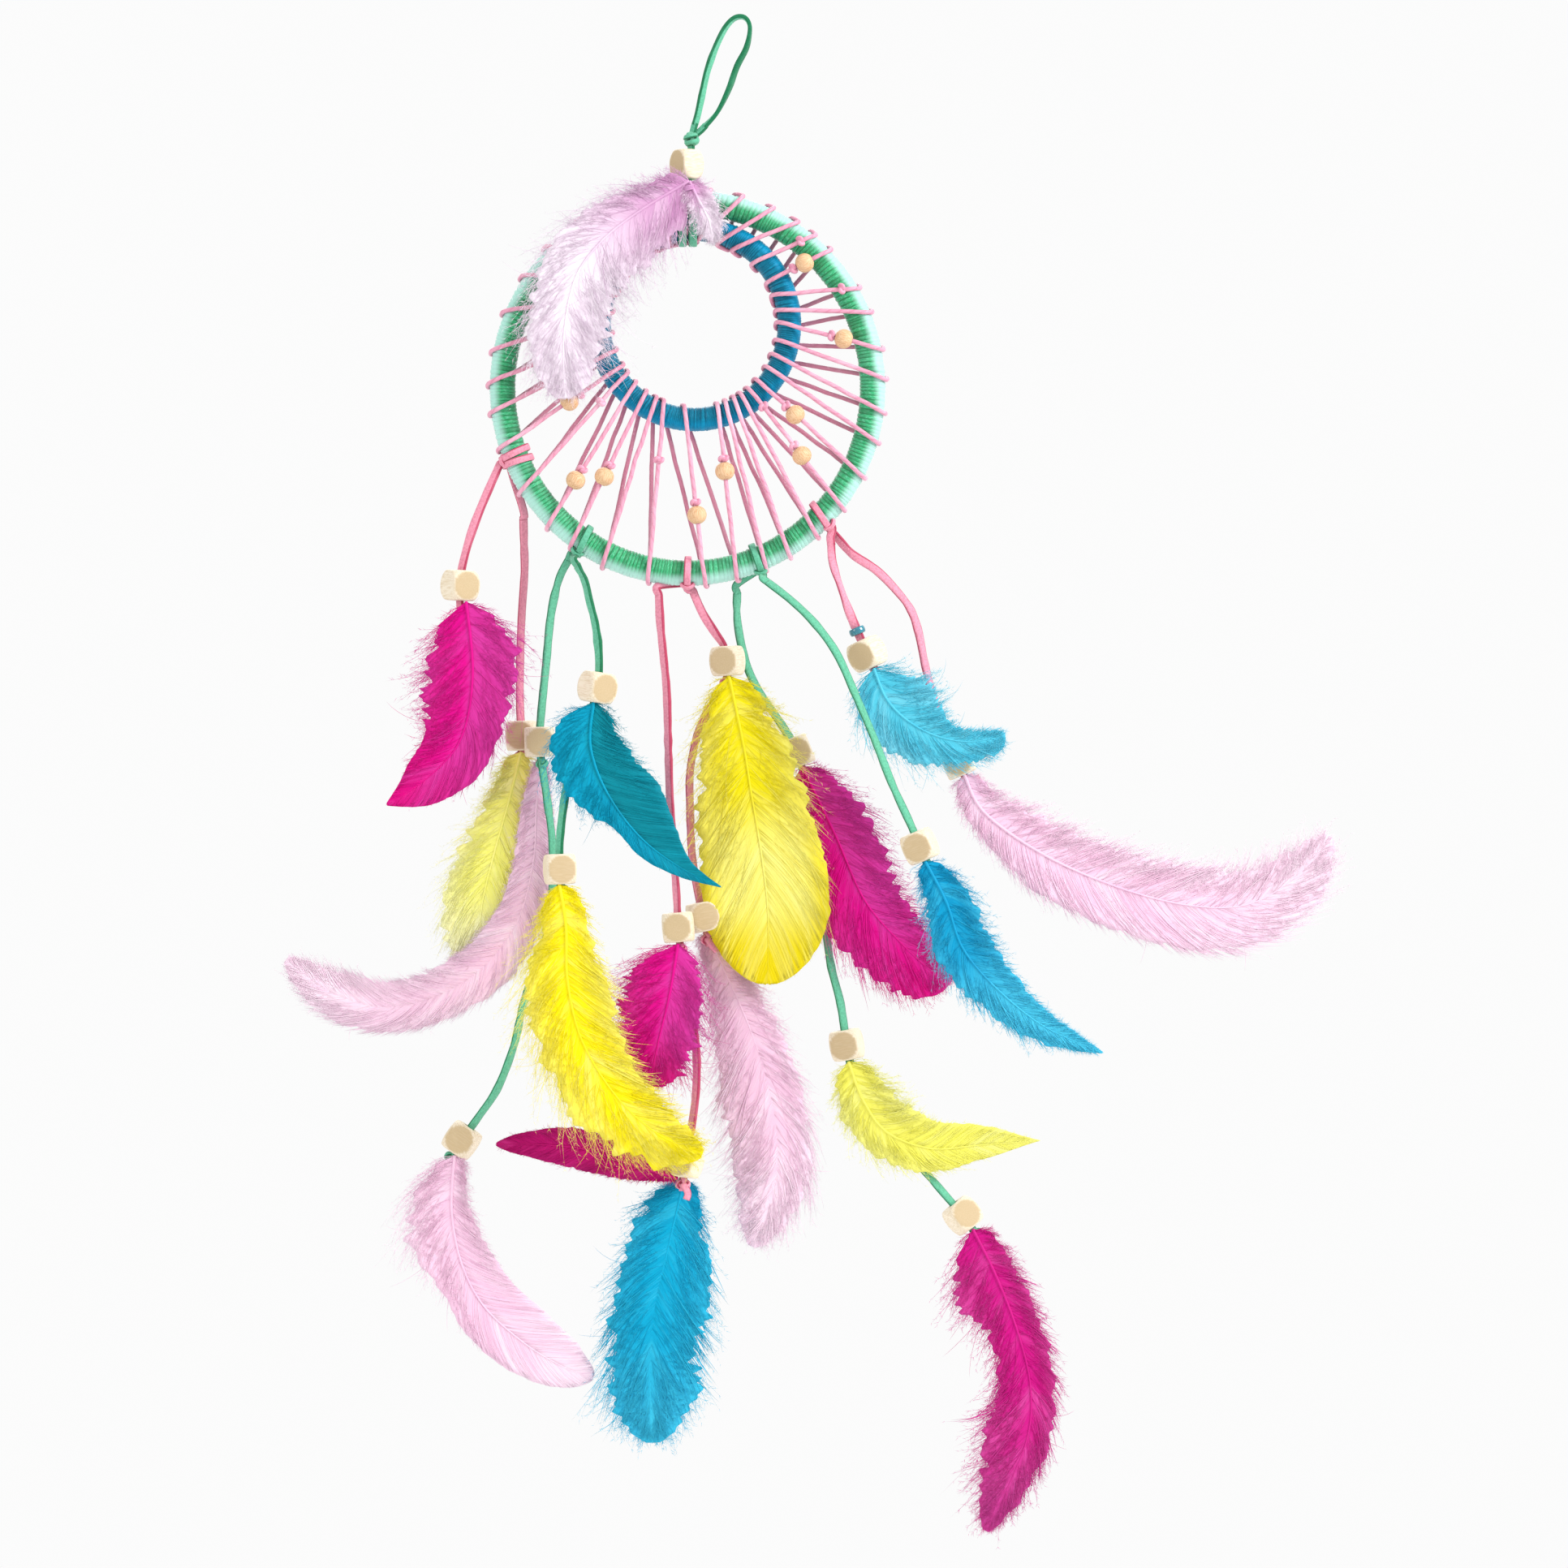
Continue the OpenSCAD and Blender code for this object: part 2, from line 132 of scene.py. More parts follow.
class Look:
    # one material: its nodes, and a Principled shader whose sockets are set by name
    def __init__(self, name):
        self.material = bpy.data.materials.new(name)
        self.material.use_nodes = True
        self.tree = self.material.node_tree
        self.shader = self.tree.nodes["Principled BSDF"]

    def node(self, kind, settings=None, inputs=None, output=0):
        made = self.tree.nodes.new("ShaderNode" + kind)
        for name, value in (settings or {}).items():
            if name == "stops":  # of a ramp: [(place, colour), ...]
                while len(made.color_ramp.elements) < len(value):
                    made.color_ramp.elements.new(0.5)
                for stop, (place, colour) in zip(made.color_ramp.elements, value):
                    stop.position, stop.color = place, colour
            else:
                setattr(made, name, value)
        for name, value in (inputs or {}).items():
            if isinstance(value, Link):
                self.tree.links.new(value.socket, made.inputs[name])
            else:
                made.inputs[name].default_value = value
        return Link(self, made.outputs[output])

    def attribute(self, name, output=2):
        return self.node("Attribute", {"attribute_name": name}, None, output)

    def place(self):
        return self.node("TexCoord", None, None, 3)

    def noise(self, where, scale, detail=2.0, rough=0.5):
        return self.node("TexNoise", None, {"Vector": where, "Scale": scale, "Detail": detail,
                                            "Roughness": rough})

    def stretch(self, where, scale):
        return self.node("VectorMath", {"operation": "MULTIPLY"}, {0: where, 1: scale})

    def mix(self, factor, first, second):
        return self.node("Mix", {"data_type": "RGBA"}, {0: factor, 6: first, 7: second}, 2)

    def span(self, value, low, high):
        # 0 at low and 1 at high, smooth between; low may be the greater
        return self.node("MapRange", {"interpolation_type": "SMOOTHSTEP"}, {0: value, 1: low, 2: high})

    def bump(self, height, strength, distance):
        return self.node("Bump", None, {"Height": height, "Strength": strength, "Distance": distance})

    def finish(self, **sockets):
        for name, value in sockets.items():
            socket = self.shader.inputs[name.replace("_", " ")]
            if isinstance(value, Link):
                self.tree.links.new(value.socket, socket)
            else:
                socket.default_value = value
        return self

    def letThrough(self, share, colour):
        # a thin vane lets part of the light through
        through = self.node("BsdfTranslucent", None, {"Color": colour})
        both = self.node("MixShader", None, {0: share, 1: Link(self, self.shader.outputs[0]), 2: through})
        self.tree.links.new(both.socket, self.tree.nodes["Material Output"].inputs["Surface"])
        return self


# shape helpers
def unit(vectors):
    return vectors / np.maximum(np.linalg.norm(vectors, axis=-1, keepdims=True), 1e-12)


def smooth(points, steps):
    # a curve through the points, between b and c: half of
    # 2b + (c - a)t + (2a - 5b + 4c - d)t^2 + (3b - a - 3c + d)t^3
    p = np.asarray(points, float)
    p = np.vstack([p[:1], p, p[-1:]])
    a, b, c, d = p[:-3, None], p[1:-2, None], p[2:-1, None], p[3:, None]
    t = (np.arange(steps) / steps)[None, :, None]
    body = 0.5 * (2 * b + (c - a) * t + (2 * a - 5 * b + 4 * c - d) * t ** 2
                  + (3 * b - a - 3 * c + d) * t ** 3)
    return np.vstack([body.reshape(-1, p.shape[1]), p[-1:]])


def lengthAlong(path):
    return np.concatenate([[0], np.cumsum(np.linalg.norm(np.diff(path, axis=0), axis=1))])


def evenly(path, gap):
    # the same line with points one gap apart
    run = lengthAlong(path)
    want = np.linspace(0, run[-1], max(3, int(round(run[-1] / gap)) + 1))
    return np.stack([np.interp(want, run, path[:, k]) for k in range(path.shape[1])], axis=1)


def stations(values, share):
    # values given at equal steps from 0 to 1, with a smooth line through them
    line = smooth(np.stack([np.linspace(0, 1, len(values)), values], axis=1), 12)
    return np.interp(share, line[:, 0], line[:, 1])


def wholeTurn(count):
    # angles at equal steps round one turn
    return 2 * np.pi * np.arange(count) / count


def gridFaces(rows, columns, closedRows=False):
    # the four corners of each cell of a grid whose every row closes on itself
    i = np.arange(rows if closedRows else rows - 1)[:, None]
    j = np.arange(columns)[None, :]
    nextI, nextJ = (i + 1) % rows, (j + 1) % columns
    return np.stack([i * columns + j, nextI * columns + j, nextI * columns + nextJ, i * columns + nextJ],
                    axis=-1).reshape(-1, 4)


def endFaces(rows, columns):
    # triangles from the first and the last row of a grid to one point each, which follow the grid's points
    j, last = np.arange(columns), (rows - 1) * columns
    centre = np.full(columns, rows * columns)
    return np.vstack([np.stack([j, (j + 1) % columns, centre], 1),
                      np.stack([last + (j + 1) % columns, last + j, centre + 1], 1)])


def volume(points, quads, tris):
    # sum of a . (b x c) / 6 over the faces' triangles
    t = np.vstack([quads[:, [0, 1, 2]], quads[:, [0, 2, 3]], tris])
    a, b, c = points[t[:, 0]], points[t[:, 1]], points[t[:, 2]]
    return float(np.einsum("ij,ij->i", a, np.cross(b, c)).sum() / 6)


noTris = np.zeros((0, 3), int)


def shape(points, quads, tris=noTris, **marks):
    # points in mm, faces turned outwards, and marks that the materials read
    points = np.asarray(points, float)
    tris = np.asarray(tris, int).reshape(-1, 3)
    if volume(points - points.mean(0), quads, tris) < 0:
        quads, tris = quads[:, ::-1], tris[:, ::-1]
    return {"points": points, "quads": quads, "tris": tris,
            "marks": {name: np.asarray(value, float) for name, value in marks.items()}}


def joined(shapes):
    starts = np.cumsum([0] + [len(s["points"]) for s in shapes])
    names = set().union(*[set(s["marks"]) for s in shapes])
    marks = {}
    for name in sorted(names):
        width = next(s["marks"][name].shape[1:] for s in shapes if name in s["marks"])
        marks[name] = np.concatenate([s["marks"].get(name, np.zeros((len(s["points"]), *width)))
                                      for s in shapes])
    return {"points": np.vstack([s["points"] for s in shapes]),
            "quads": np.vstack([s["quads"] + k for s, k in zip(shapes, starts)]),
            "tris": np.vstack([s["tris"] + k for s, k in zip(shapes, starts)]), "marks": marks}


def makePiece(name, made, look, body, replaced=()):
    points = (made["points"] * mm).astype(np.float32)
    corners = np.concatenate([made["quads"].ravel(), made["tris"].ravel()]).astype(np.int32)
    sizes = np.concatenate([np.full(len(made["quads"]), 4), np.full(len(made["tris"]), 3)])
    mesh = bpy.data.meshes.new(name)
    mesh.vertices.add(len(points))
    mesh.vertices.foreach_set("co", points.ravel())
    mesh.loops.add(len(corners))
    mesh.loops.foreach_set("vertex_index", corners)
    mesh.polygons.add(len(sizes))
    mesh.polygons.foreach_set("loop_start", np.concatenate([[0], np.cumsum(sizes)[:-1]]).astype(np.int32))
    mesh.polygons.foreach_set("use_smooth", np.full(len(sizes), True))
    for mark, values in made["marks"].items():
        kind, field = ("FLOAT_VECTOR", "vector") if values.ndim == 2 else ("FLOAT", "value")
        layer = mesh.attributes.new(mark, kind, "POINT")
        layer.data.foreach_set(field, values.astype(np.float32).ravel())
    mesh.update(calc_edges=True)
    mesh.validate()
    mesh.materials.append(look.material)
    piece = bpy.data.objects.new(name, mesh)
    bpy.context.scene.collection.objects.link(piece)
    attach(piece, body)
    if replaced:
        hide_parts(*replaced)
    return piece


def sweep(path, outline, up, closed=False, size=1.0, lean=0.0, **marks):
    # outline (side, top) carried along the path: point + side * s + top * t, where side is square to
    # the path and to up; lean turns the outline about the path, in radians
    before, after = 2 * path[:1] - path[1:2], 2 * path[-1:] - path[-2:-1]
    if closed:
        before, after = path[-1:], path[:1]
    around = np.vstack([before, path, after])
    along = unit(around[2:] - around[:-2])
    side = unit(np.cross(along, np.broadcast_to(up, path.shape)))
    top = np.cross(side, along)
    lean = np.broadcast_to(lean, len(path))[:, None]
    side, top = side * np.cos(lean) + top * np.sin(lean), top * np.cos(lean) - side * np.sin(lean)
    outline = np.broadcast_to(outline, (len(path), *np.shape(outline)[-2:]))
    grow = np.broadcast_to(size, len(path))[:, None, None]
    rings = path[:, None] + grow * (outline[..., :1] * side[:, None] + outline[..., 1:] * top[:, None])
    rows, columns = rings.shape[:2]
    points, quads, tris = rings.reshape(-1, 3), gridFaces(rows, columns, closed), noTris
    run = np.repeat(lengthAlong(path), columns)
    ring = np.tile(np.arange(columns) / columns, rows)
    if not closed:  # each end closes to a point in its middle
        points, tris = np.vstack([points, path[0], path[-1]]), endFaces(rows, columns)
        run, ring = np.append(run, [0, run[-1]]), np.append(ring, [0.25, 0.25])
    marks = {name: np.resize(np.repeat(value, columns) if np.ndim(value) else value, len(points))
             for name, value in marks.items()}
    return shape(points, quads, tris, run=run, ring=ring, **marks)


def roundOutline(radius, sides):
    turn = wholeTurn(sides)
    return radius * np.stack([np.cos(turn), np.sin(turn)], axis=1)


def stripOutline(width, thickness, sides=16):
    # a flat strip with rounded edges: cos and sin of the turn, each to the power 0.55
    turn = 2 * np.pi * (np.arange(sides) + 0.5) / sides
    c, s = np.cos(turn), np.sin(turn)
    return np.stack([np.sign(c) * np.abs(c) ** 0.55 * width / 2,
                     np.sign(s) * np.abs(s) ** 0.55 * thickness / 2], axis=1)


def middleOf(node):
    low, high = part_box(node)
    return np.array([(a + b) / 2 / mm for a, b in zip(low, high)])


# suede laces
suede = {"width": 2.7, "loopWidth": 2.2, "thickness": 1.4, "gap": 0.6, "wave": 0.05}
planes = {"first": -15, "second": -5, "third": 5, "fourth": 15}
# route of each tail lace, as in the CAD part, in mm: colour, plane, lean of its face, points
tailLaces = {
    "a1": ("pink", "second", (-35, -20, -30, -40), [
        (-75, -138), (-78, -145), (-81, -152.5), (-83.5, -160), (-85.5, -168), (-86, -173), (-86, -179),
        (-85.5, -182), (-85, -184)]),
    "a2": ("pink", "fourth", (40, 48, 42, 38), [
        (-67, -152), (-67, -159), (-67, -168), (-68, -182), (-68.5, -197), (-68.5, -210), (-68, -219),
        (-68, -225), (-68, -228)]),
    "b1": ("green", "third", (45, 42, 46, 40, 50, 45), [
        (-53, -165), (-56, -171), (-58.5, -182), (-60, -197), (-61.5, -212), (-62, -221), (-61, -230),
        (-59.5, -240), (-58, -253), (-58, -267), (-59, -278), (-63, -290), (-67, -302), (-70, -315),
        (-75, -328), (-81, -337), (-86, -344), (-89, -349), (-90, -351)]),
    "b2": ("green", "first", (-50, -40, -46, -38, -45), [
        (-50, -167), (-47.5, -172), (-46, -178), (-44, -186), (-43, -196), (-43.5, -204.5), (-45.5, -212),
        (-49, -220), (-52, -230), (-54, -242), (-55, -252), (-55, -260), (-54.5, -266), (-54, -269)]),
    "c1": ("pink", "second", (-30, -42, -35, -50, -40, -45), [
        (-25, -176), (-24.5, -185), (-23.5, -195), (-22.5, -206), (-22, -224), (-21.5, -240), (-20.5, -255),
        (-19.5, -268), (-19, -278), (-18, -286), (-15.5, -300), (-13.5, -315), (-13.5, -328), (-15, -340),
        (-17, -350), (-17.5, -356.5), (-17.5, -359)]),
    "c2": ("pink", "third", (30, -60, 35, 45, 40, 45), [
        (-14, -176), (-11.5, -181.5), (-8, -187), (-5, -191.5), (-4, -196), (-4.5, -203), (-9, -210),
        (-13, -218), (-15.5, -230), (-15.5, -242), (-15, -255), (-13.5, -265), (-11.5, -275),
        (-10, -281.5), (-9.5, -284)]),
    "d1": ("green", "fourth", (45, 40, 48, 42, 45, 50), [
        (-1, -175), (-1, -183), (0.5, -192), (3, -200), (7.5, -208), (13, -216), (17.5, -224), (20, -233),
        (22, -245), (24, -258), (26, -275), (28, -290), (31, -302), (33, -315), (35, -324), (39, -331),
        (44.5, -339), (51, -347), (57, -354), (63, -361), (69, -368), (73, -373.5), (75, -376)]),
    "d2": ("green", "first", (48, 42, 46, 40, 45), [
        (8.5, -172), (16, -178), (23, -185), (29.5, -194), (35, -206), (41, -220), (46.5, -234), (52, -246),
        (55, -253), (57.5, -259), (58.5, -262)]),
    "e1": ("pink", "second", (-20, 60, -30, 50), [
        (28, -160), (28.5, -166), (31, -174), (33.5, -181), (36, -187), (39, -194), (42, -200.5),
        (43, -203)]),
    "e2": ("pink", "third", (-40, 30, 45, 40, 45), [
        (29.5, -157.5), (34.5, -163), (42, -168), (48, -174), (52.5, -180), (55, -187), (57, -197),
        (59.5, -207), (63, -217), (67, -227), (70, -233), (71, -235.5)]),
}
loopRoute = [(-14, -31), (-13, -27.5), (-11.5, -20.5), (-10, -14), (-7.5, -7), (-4.5, -1), (-1.5, 2),
             (1.5, 2), (3, -1), (2, -7), (-1, -13), (-3.5, -20), (-7, -27), (-11, -31.5)]
# cube beads: lace and the route point that each is threaded at
cubeBeads = {"a1": ("a1", 5), "a2": ("a2", 6), "b1_upper": ("b1", 5), "b1_lower": ("b1", 16),
             "b2_upper": ("b2", 5), "b2_lower": ("b2", 11), "c1_upper": ("c1", 8), "c1_lower": ("c1", 14),
             "c2_upper": ("c2", 4), "c2_lower": ("c2", 12), "d1_upper": ("d1", 6), "d1_middle": ("d1", 13),
             "d1_lower": ("d1", 20), "d2": ("d2", 8), "e1": ("e1", 5), "e2": ("e2", 9)}


def suedeLook(name, pale, deep, shade):
    # one broad face takes the pale colour as a painted highlight, the edges and the back keep the deeper dye;
    # fine speckle and a slow drift of tone
    look = Look(name)
    where = look.place()
    ring = look.attribute("ring")
    # painted highlight: the broad face of the strip, set by ring, turns pale
    litFace = look.span(look.node("Math", {"operation": "SINE"}, {0: ring * (2 * math.pi) + 0.9}), 0.1, 0.5)
    nap = look.noise(where, 1500, 4, 0.65)
    drift = look.noise(where, 90, 2)
    colour = look.mix(litFace + (nap - 0.5) * 0.35, deep, pale)
    colour = look.mix(look.span(nap, 0.60, 0.36) * 0.25, colour, shade)
    colour = look.mix(look.span(drift, 0.5, 0.8) * 0.3, colour, pale)
    height = nap + look.noise(where, 420, 3) * 0.8
    return look.finish(Base_Color=colour, Roughness=look.span(nap, 0.2, 0.9) * 0.2 + 0.7,
                       Sheen_Weight=0.25, Sheen_Roughness=0.5, Specular_IOR_Level=0.25,
                       Normal=look.bump(height, 0.55, 0.0003))


looks = {
    # the first colour of each suede is the painted highlight of its broad face
    "pinkSuede": suedeLook("pinkSuede", dye(228, 146, 168), dye(172, 54, 86), dye(136, 40, 66)),
    "greenSuede": suedeLook("greenSuede", dye(96, 180, 146), dye(0, 108, 68), dye(0, 78, 50)),
}
up = np.array([0.0, -1.0, 0.0])


def tailPoints(name):
    plane = planes[tailLaces[name][1]]
    return np.array([(x, plane * min(1, 0.35 + 0.25 * i), z) for i, (x, z) in enumerate(tailLaces[name][3])])


def strip(path, leans, seed, width=None):
    # the flat outline swept along the path, its width uneven by a slow wave
    wave = np.interp(lengthAlong(path), np.arange(0, 400, 3.0),
                     np.random.default_rng(seed).normal(0, suede["wave"], 134))
    share = np.linspace(0, 1, len(path))
    return sweep(path, stripOutline(width or suede["width"], suede["thickness"]), up, size=1 + wave,
                 lean=np.radians(stations(leans, share)))


def makeLaces():
    for seed, (name, (colour, _, leans, _)) in enumerate(tailLaces.items()):
        path = evenly(smooth(tailPoints(name), 8), suede["gap"])
        piece = makePiece("suede_" + name, strip(path, leans, seed), looks[colour + "Suede"], "tail_" + name,
                          ["lace_" + name])
        beads = ["cube_" + bead for bead, (lace, _) in cubeBeads.items() if lace == name]
        declared.append((piece, path, "knot", beads, suede["width"]))
    path = evenly(smooth([(x, 0, z) for x, z in loopRoute], 8), suede["gap"])
    made = strip(path, (-35, -40, -50, -80, -120, -110, -60), 40, suede["loopWidth"])
    piece = makePiece("loop_lace", made, looks["greenSuede"], "loop", ["hanging_loop"])
    declared.append((piece, path, "object", [], suede["loopWidth"]))


declared = []
makeLaces()
print("suede laces made")


# wooden beads
cube = {"side": 9.3, "ball": 12.9, "bore": 4.4, "edge": 26.0, "rows": 44, "columns": 64, "loopSide": 0.84}
# turn of each cube bead about its lace, in degrees
beadTurns = {"a1": -32, "a2": 4, "b1_upper": -4, "b1_lower": 10, "b2_upper": -34, "b2_lower": -12,
             "c1_upper": 4, "c1_lower": 24, "c2_upper": 18, "c2_lower": -10, "d1_upper": 0, "d1_middle": 14,
             "d1_lower": -20, "d2": 16, "e1": 30, "e2": 0, "loop": 52}


def woodLook(name, pale, deep, knotty):
    # long grain streaks in the bead's own directions, pores, and tanner flats where the sides are cut
    look = Look(name)
    grain = look.attribute("grain", 1)
    streak = look.noise(look.stretch(grain, (2.1, 2.1, 0.22)), 1.6, 4, 0.6)
    pore = look.noise(look.stretch(grain, (9.0, 9.0, 0.9)), 1.5, 3, 0.6)
    blotch = look.noise(grain, 0.16, 2)
    flat = look.attribute("flat")
    colour = look.mix(look.span(streak, 0.38, 0.66), pale, deep)
    colour = look.mix(look.span(pore, 0.60, 0.74) * 0.35, colour, knotty)
    colour = look.mix(look.span(blotch, 0.45, 0.7) * 0.35, colour, pale)
    colour = look.mix(flat * 0.85, colour, knotty)
    colour = look.mix(flat * look.span(streak, 0.42, 0.62) * 0.3, colour, deep)
    return look.finish(Base_Color=colour, Roughness=look.span(pore, 0.3, 0.8) * 0.18 + 0.48,
                       Specular_IOR_Level=0.4, Normal=look.bump(streak * 0.5 + pore, 0.25, 0.0002))


looks["paleWood"] = woodLook("paleWood", dye(228, 216, 194), dye(210, 192, 162), dye(180, 154, 110))
looks["tanWood"] = woodLook("tanWood", dye(226, 190, 150), dye(200, 152, 108), dye(160, 112, 74))


def frameOf(direction, turn=0.0):
    # three square directions whose third lies along the lace, turned about it
    along = unit(np.asarray(direction, float))
    side = unit(np.cross(up, along))
    front = np.cross(along, side)
    c, s = math.cos(math.radians(turn)), math.sin(math.radians(turn))
    return np.stack([side * c + front * s, front * c - side * s, along])


def boredSolid(distance, bore, half, rows, columns):
    # a loop round the section of the wall (outside from top to bottom, then up through the bore), turned
    # about the axis; distance(direction) gives how far out the surface lies
    first = math.atan2(bore / 2, half)
    polar = np.linspace(first, math.pi - first, rows)[:, None]
    turn = wholeTurn(columns)[None]
    way = np.stack([np.sin(polar) * np.cos(turn), np.sin(polar) * np.sin(turn), np.cos(polar) + 0 * turn], -1)
    reach, flat = distance(way)
    outside = way * reach[..., None]
    lip = outside[-1, :, 2].mean(), outside[0, :, 2].mean()
    heights = np.linspace(lip[0] + 0.25, lip[1] - 0.25, 5)[:, None]
    ring = bore / 2 * 0.94
    inside = np.stack([ring * np.cos(turn) + 0 * heights, ring * np.sin(turn) + 0 * heights,
                       heights + 0 * turn], -1)
    points = np.concatenate([outside, inside]).reshape(-1, 3)
    return points, gridFaces(rows + 5, columns, True), np.append(flat.ravel(), np.zeros(5 * columns))


def cubeDistance(way):
    # the nearer of the cube's wall and the ball, softened: (cube^-n + ball^-n)^(-1/n)
    wall = cube["side"] / 2 / np.abs(way).max(-1)
    ball = cube["ball"] / 2
    reach = (wall ** -cube["edge"] + ball ** -cube["edge"]) ** (-1 / cube["edge"])
    ends = np.abs(way[..., 1]) > np.abs(way[..., [0, 2]]).max(-1)  # the two faces of end grain
    return reach, np.clip((ball - wall) / 0.12, 0, 1) * ends


def cubeBead(name, middle, direction, seed):
    points, quads, flat = boredSolid(cubeDistance, cube["bore"], cube["side"] / 2, cube["rows"],
                                     cube["columns"])
    random = np.random.default_rng(seed)
    points = points * (1 + random.normal(0, 0.006, 3))
    lying = frameOf(direction, beadTurns[name])
    twist = np.roll(points, 1 + seed % 2, axis=1) + random.uniform(-40, 40, 3)
    return shape(points @ lying + middle, quads, flat=flat, grain=twist)


def makeCubes():
    for seed, (name, (lace, point)) in enumerate(cubeBeads.items()):
        route = tailPoints(lace)
        way = route[point + 1] - route[point - 1]
        way[1] = 0
        made = cubeBead(name, middleOf("bead_" + name), way, seed)
        makePiece("cube_" + name, made, looks["paleWood"], "tail_" + lace, ["bead_" + name])
    middle = middleOf("loop_bead")
    made = cubeBead("loop", middle, (0, 0, -1), 30)
    made["points"] = middle + (made["points"] - middle) * [cube["loopSide"], cube["loopSide"], 1.0]
    makePiece("cube_loop", made, looks["paleWood"], "knot", ["loop_bead"])


makeCubes()
for piece, path, farEnd, beads, width in declared:
    path[0] * mm
    width * mm
    path * mm


# wound hoops
hoops = {
    "outer": {"centre": (-16.2, -112.0), "ring": 57.0, "tube": 4.0, "turns": 286, "perTurn": 6, "around": 26,
              "depth": 0.30},
    "inner": {"centre": (-14.14, -92.41), "ring": 29.3, "tube": 3.7, "turns": 236, "perTurn": 7, "around": 26,
              "depth": 0.16},
}


def windingLook(name, colours, fibres, gloss, sheen, tint):
    # fibres run with each turn of thread; the seams between turns are darkened with painted shade and the
    # crowns catch light. The outer side of the hoop, where outer nears 1, takes a painted highlight, by up to
    # the share given last among the colours
    deep, body, bright, paintedHighlight, highlightShare = colours
    look = Look(name)
    thread = look.attribute("thread", 1)
    seam = look.attribute("seam")
    tone = look.attribute("tone")
    fibre = look.noise(look.stretch(thread, (fibres, 0.9, 1.0)), 1.0, 3, 0.6)
    drift = look.noise(look.place(), 26, 3, 0.6)
    colour = look.mix(look.span(fibre, 0.42, 0.72) * 0.8, body, bright)
    colour = look.mix(look.span(tone, 0.5, 0.0) * 0.6, colour, deep)
    colour = look.mix(look.span(drift, 0.5, 0.78) * 0.4, colour, bright)
    # painted shade: the seams between turns of thread darken towards the deep colour
    colour = look.mix(look.span(seam, 0.5, 0.95) * 0.8, colour, deep)
    # painted highlight: the outer side of the tube turns pale towards the fourth colour
    highlightMask = look.span(look.attribute("outer") + (drift - 0.5) * 0.8, -0.05, 0.7)
    colour = look.mix(highlightMask * highlightShare, colour, paintedHighlight)
    return look.finish(Base_Color=colour, Roughness=gloss + 0.25 * fibre, Specular_IOR_Level=0.45,
                       Specular_Tint=tint, Sheen_Weight=sheen, Sheen_Roughness=0.3,
                       Normal=look.bump(fibre, 0.5, 0.0003))


# deep, body, bright, a painted highlight for the hoop's outer side, and its greatest share
floss = (dye(0, 104, 54), dye(24, 160, 98), dye(110, 204, 164), dye(178, 226, 216), 0.85)
satin = (dye(10, 66, 88), dye(16, 108, 134), dye(24, 140, 176), dye(0, 150, 200), 0.6)
looks["greenThread"] = windingLook("greenThread", floss, 5.0, 0.34, 1.0, dye(255, 255, 255))
looks["blueThread"] = windingLook("blueThread", satin, 3.2, 0.26, 0.0, dye(110, 180, 220))


def winding(facts, seed):
    # a ring whose skin is one thread wound round it: the section's radius is
    # tube - depth * (1 - root of (1 - across^2)), where across runs from -1 to 1 over each turn
    random = np.random.default_rng(seed)
    count = facts["turns"] * facts["perTurn"]
    clock = wholeTurn(count)[:, None]
    around = wholeTurn(facts["around"])[None]
    uneven = sum(random.normal(0, 0.32) * np.sin(k * clock + random.uniform(0, 6.28))
                 for k in range(9, 40, 3))
    phase = facts["turns"] * clock / (2 * np.pi) + around / (2 * np.pi) + uneven * 0.6
    across = 2 * (phase % 1.0) - 1
    each = np.floor(phase).astype(int) % facts["turns"]
    tone = random.uniform(0, 1, facts["turns"])[each]
    lift = random.normal(0, 0.05, facts["turns"])[each]
    crown = 1 - across ** 2
    skin = facts["tube"] - facts["depth"] * (1 - np.sqrt(np.clip(crown, 0, 1))) + lift * crown
    out = facts["ring"] + skin * np.cos(around)
    points = np.stack([facts["centre"][0] + out * np.sin(clock), -skin * np.sin(around) + 0 * clock,
                       facts["centre"][1] + out * np.cos(clock)], -1)
    thread = np.stack([phase, around * facts["tube"] + 0 * clock, each + 0.0], -1)
    return shape(points.reshape(-1, 3), gridFaces(count, facts["around"], True), seam=np.abs(across).ravel(),
                 outer=(np.cos(around) + 0 * clock).ravel(), tone=tone.ravel(), thread=thread.reshape(-1, 3))


def coreLook():
    look = Look("hoopCore")
    ringed = look.noise(look.place(), 300, 3)
    return look.finish(Base_Color=look.mix(ringed, dye(196, 160, 112), dye(226, 196, 150)), Roughness=0.6,
                       Normal=look.bump(ringed, 0.3, 0.0003))


looks["core"] = coreLook()
for node in ("outer_hoop_core", "inner_hoop_core"):
    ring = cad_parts[node]
    ring.data.materials.clear()
    ring.data.materials.append(looks["core"].material)
makePiece("outer_winding", winding(hoops["outer"], 3), looks["greenThread"], "hoops",
          ["outer_hoop_wrap"])
makePiece("inner_winding", winding(hoops["inner"], 4), looks["blueThread"], "hoops",
          ["inner_hoop_wrap"])
print("hoops wound")


# laced web
web = {"cord": 0.70, "sides": 9, "gap": 0.6, "twist": 0.9, "bead": 6.0, "bore": 2.2, "knot": 0.40,
       "knotCord": 0.72}
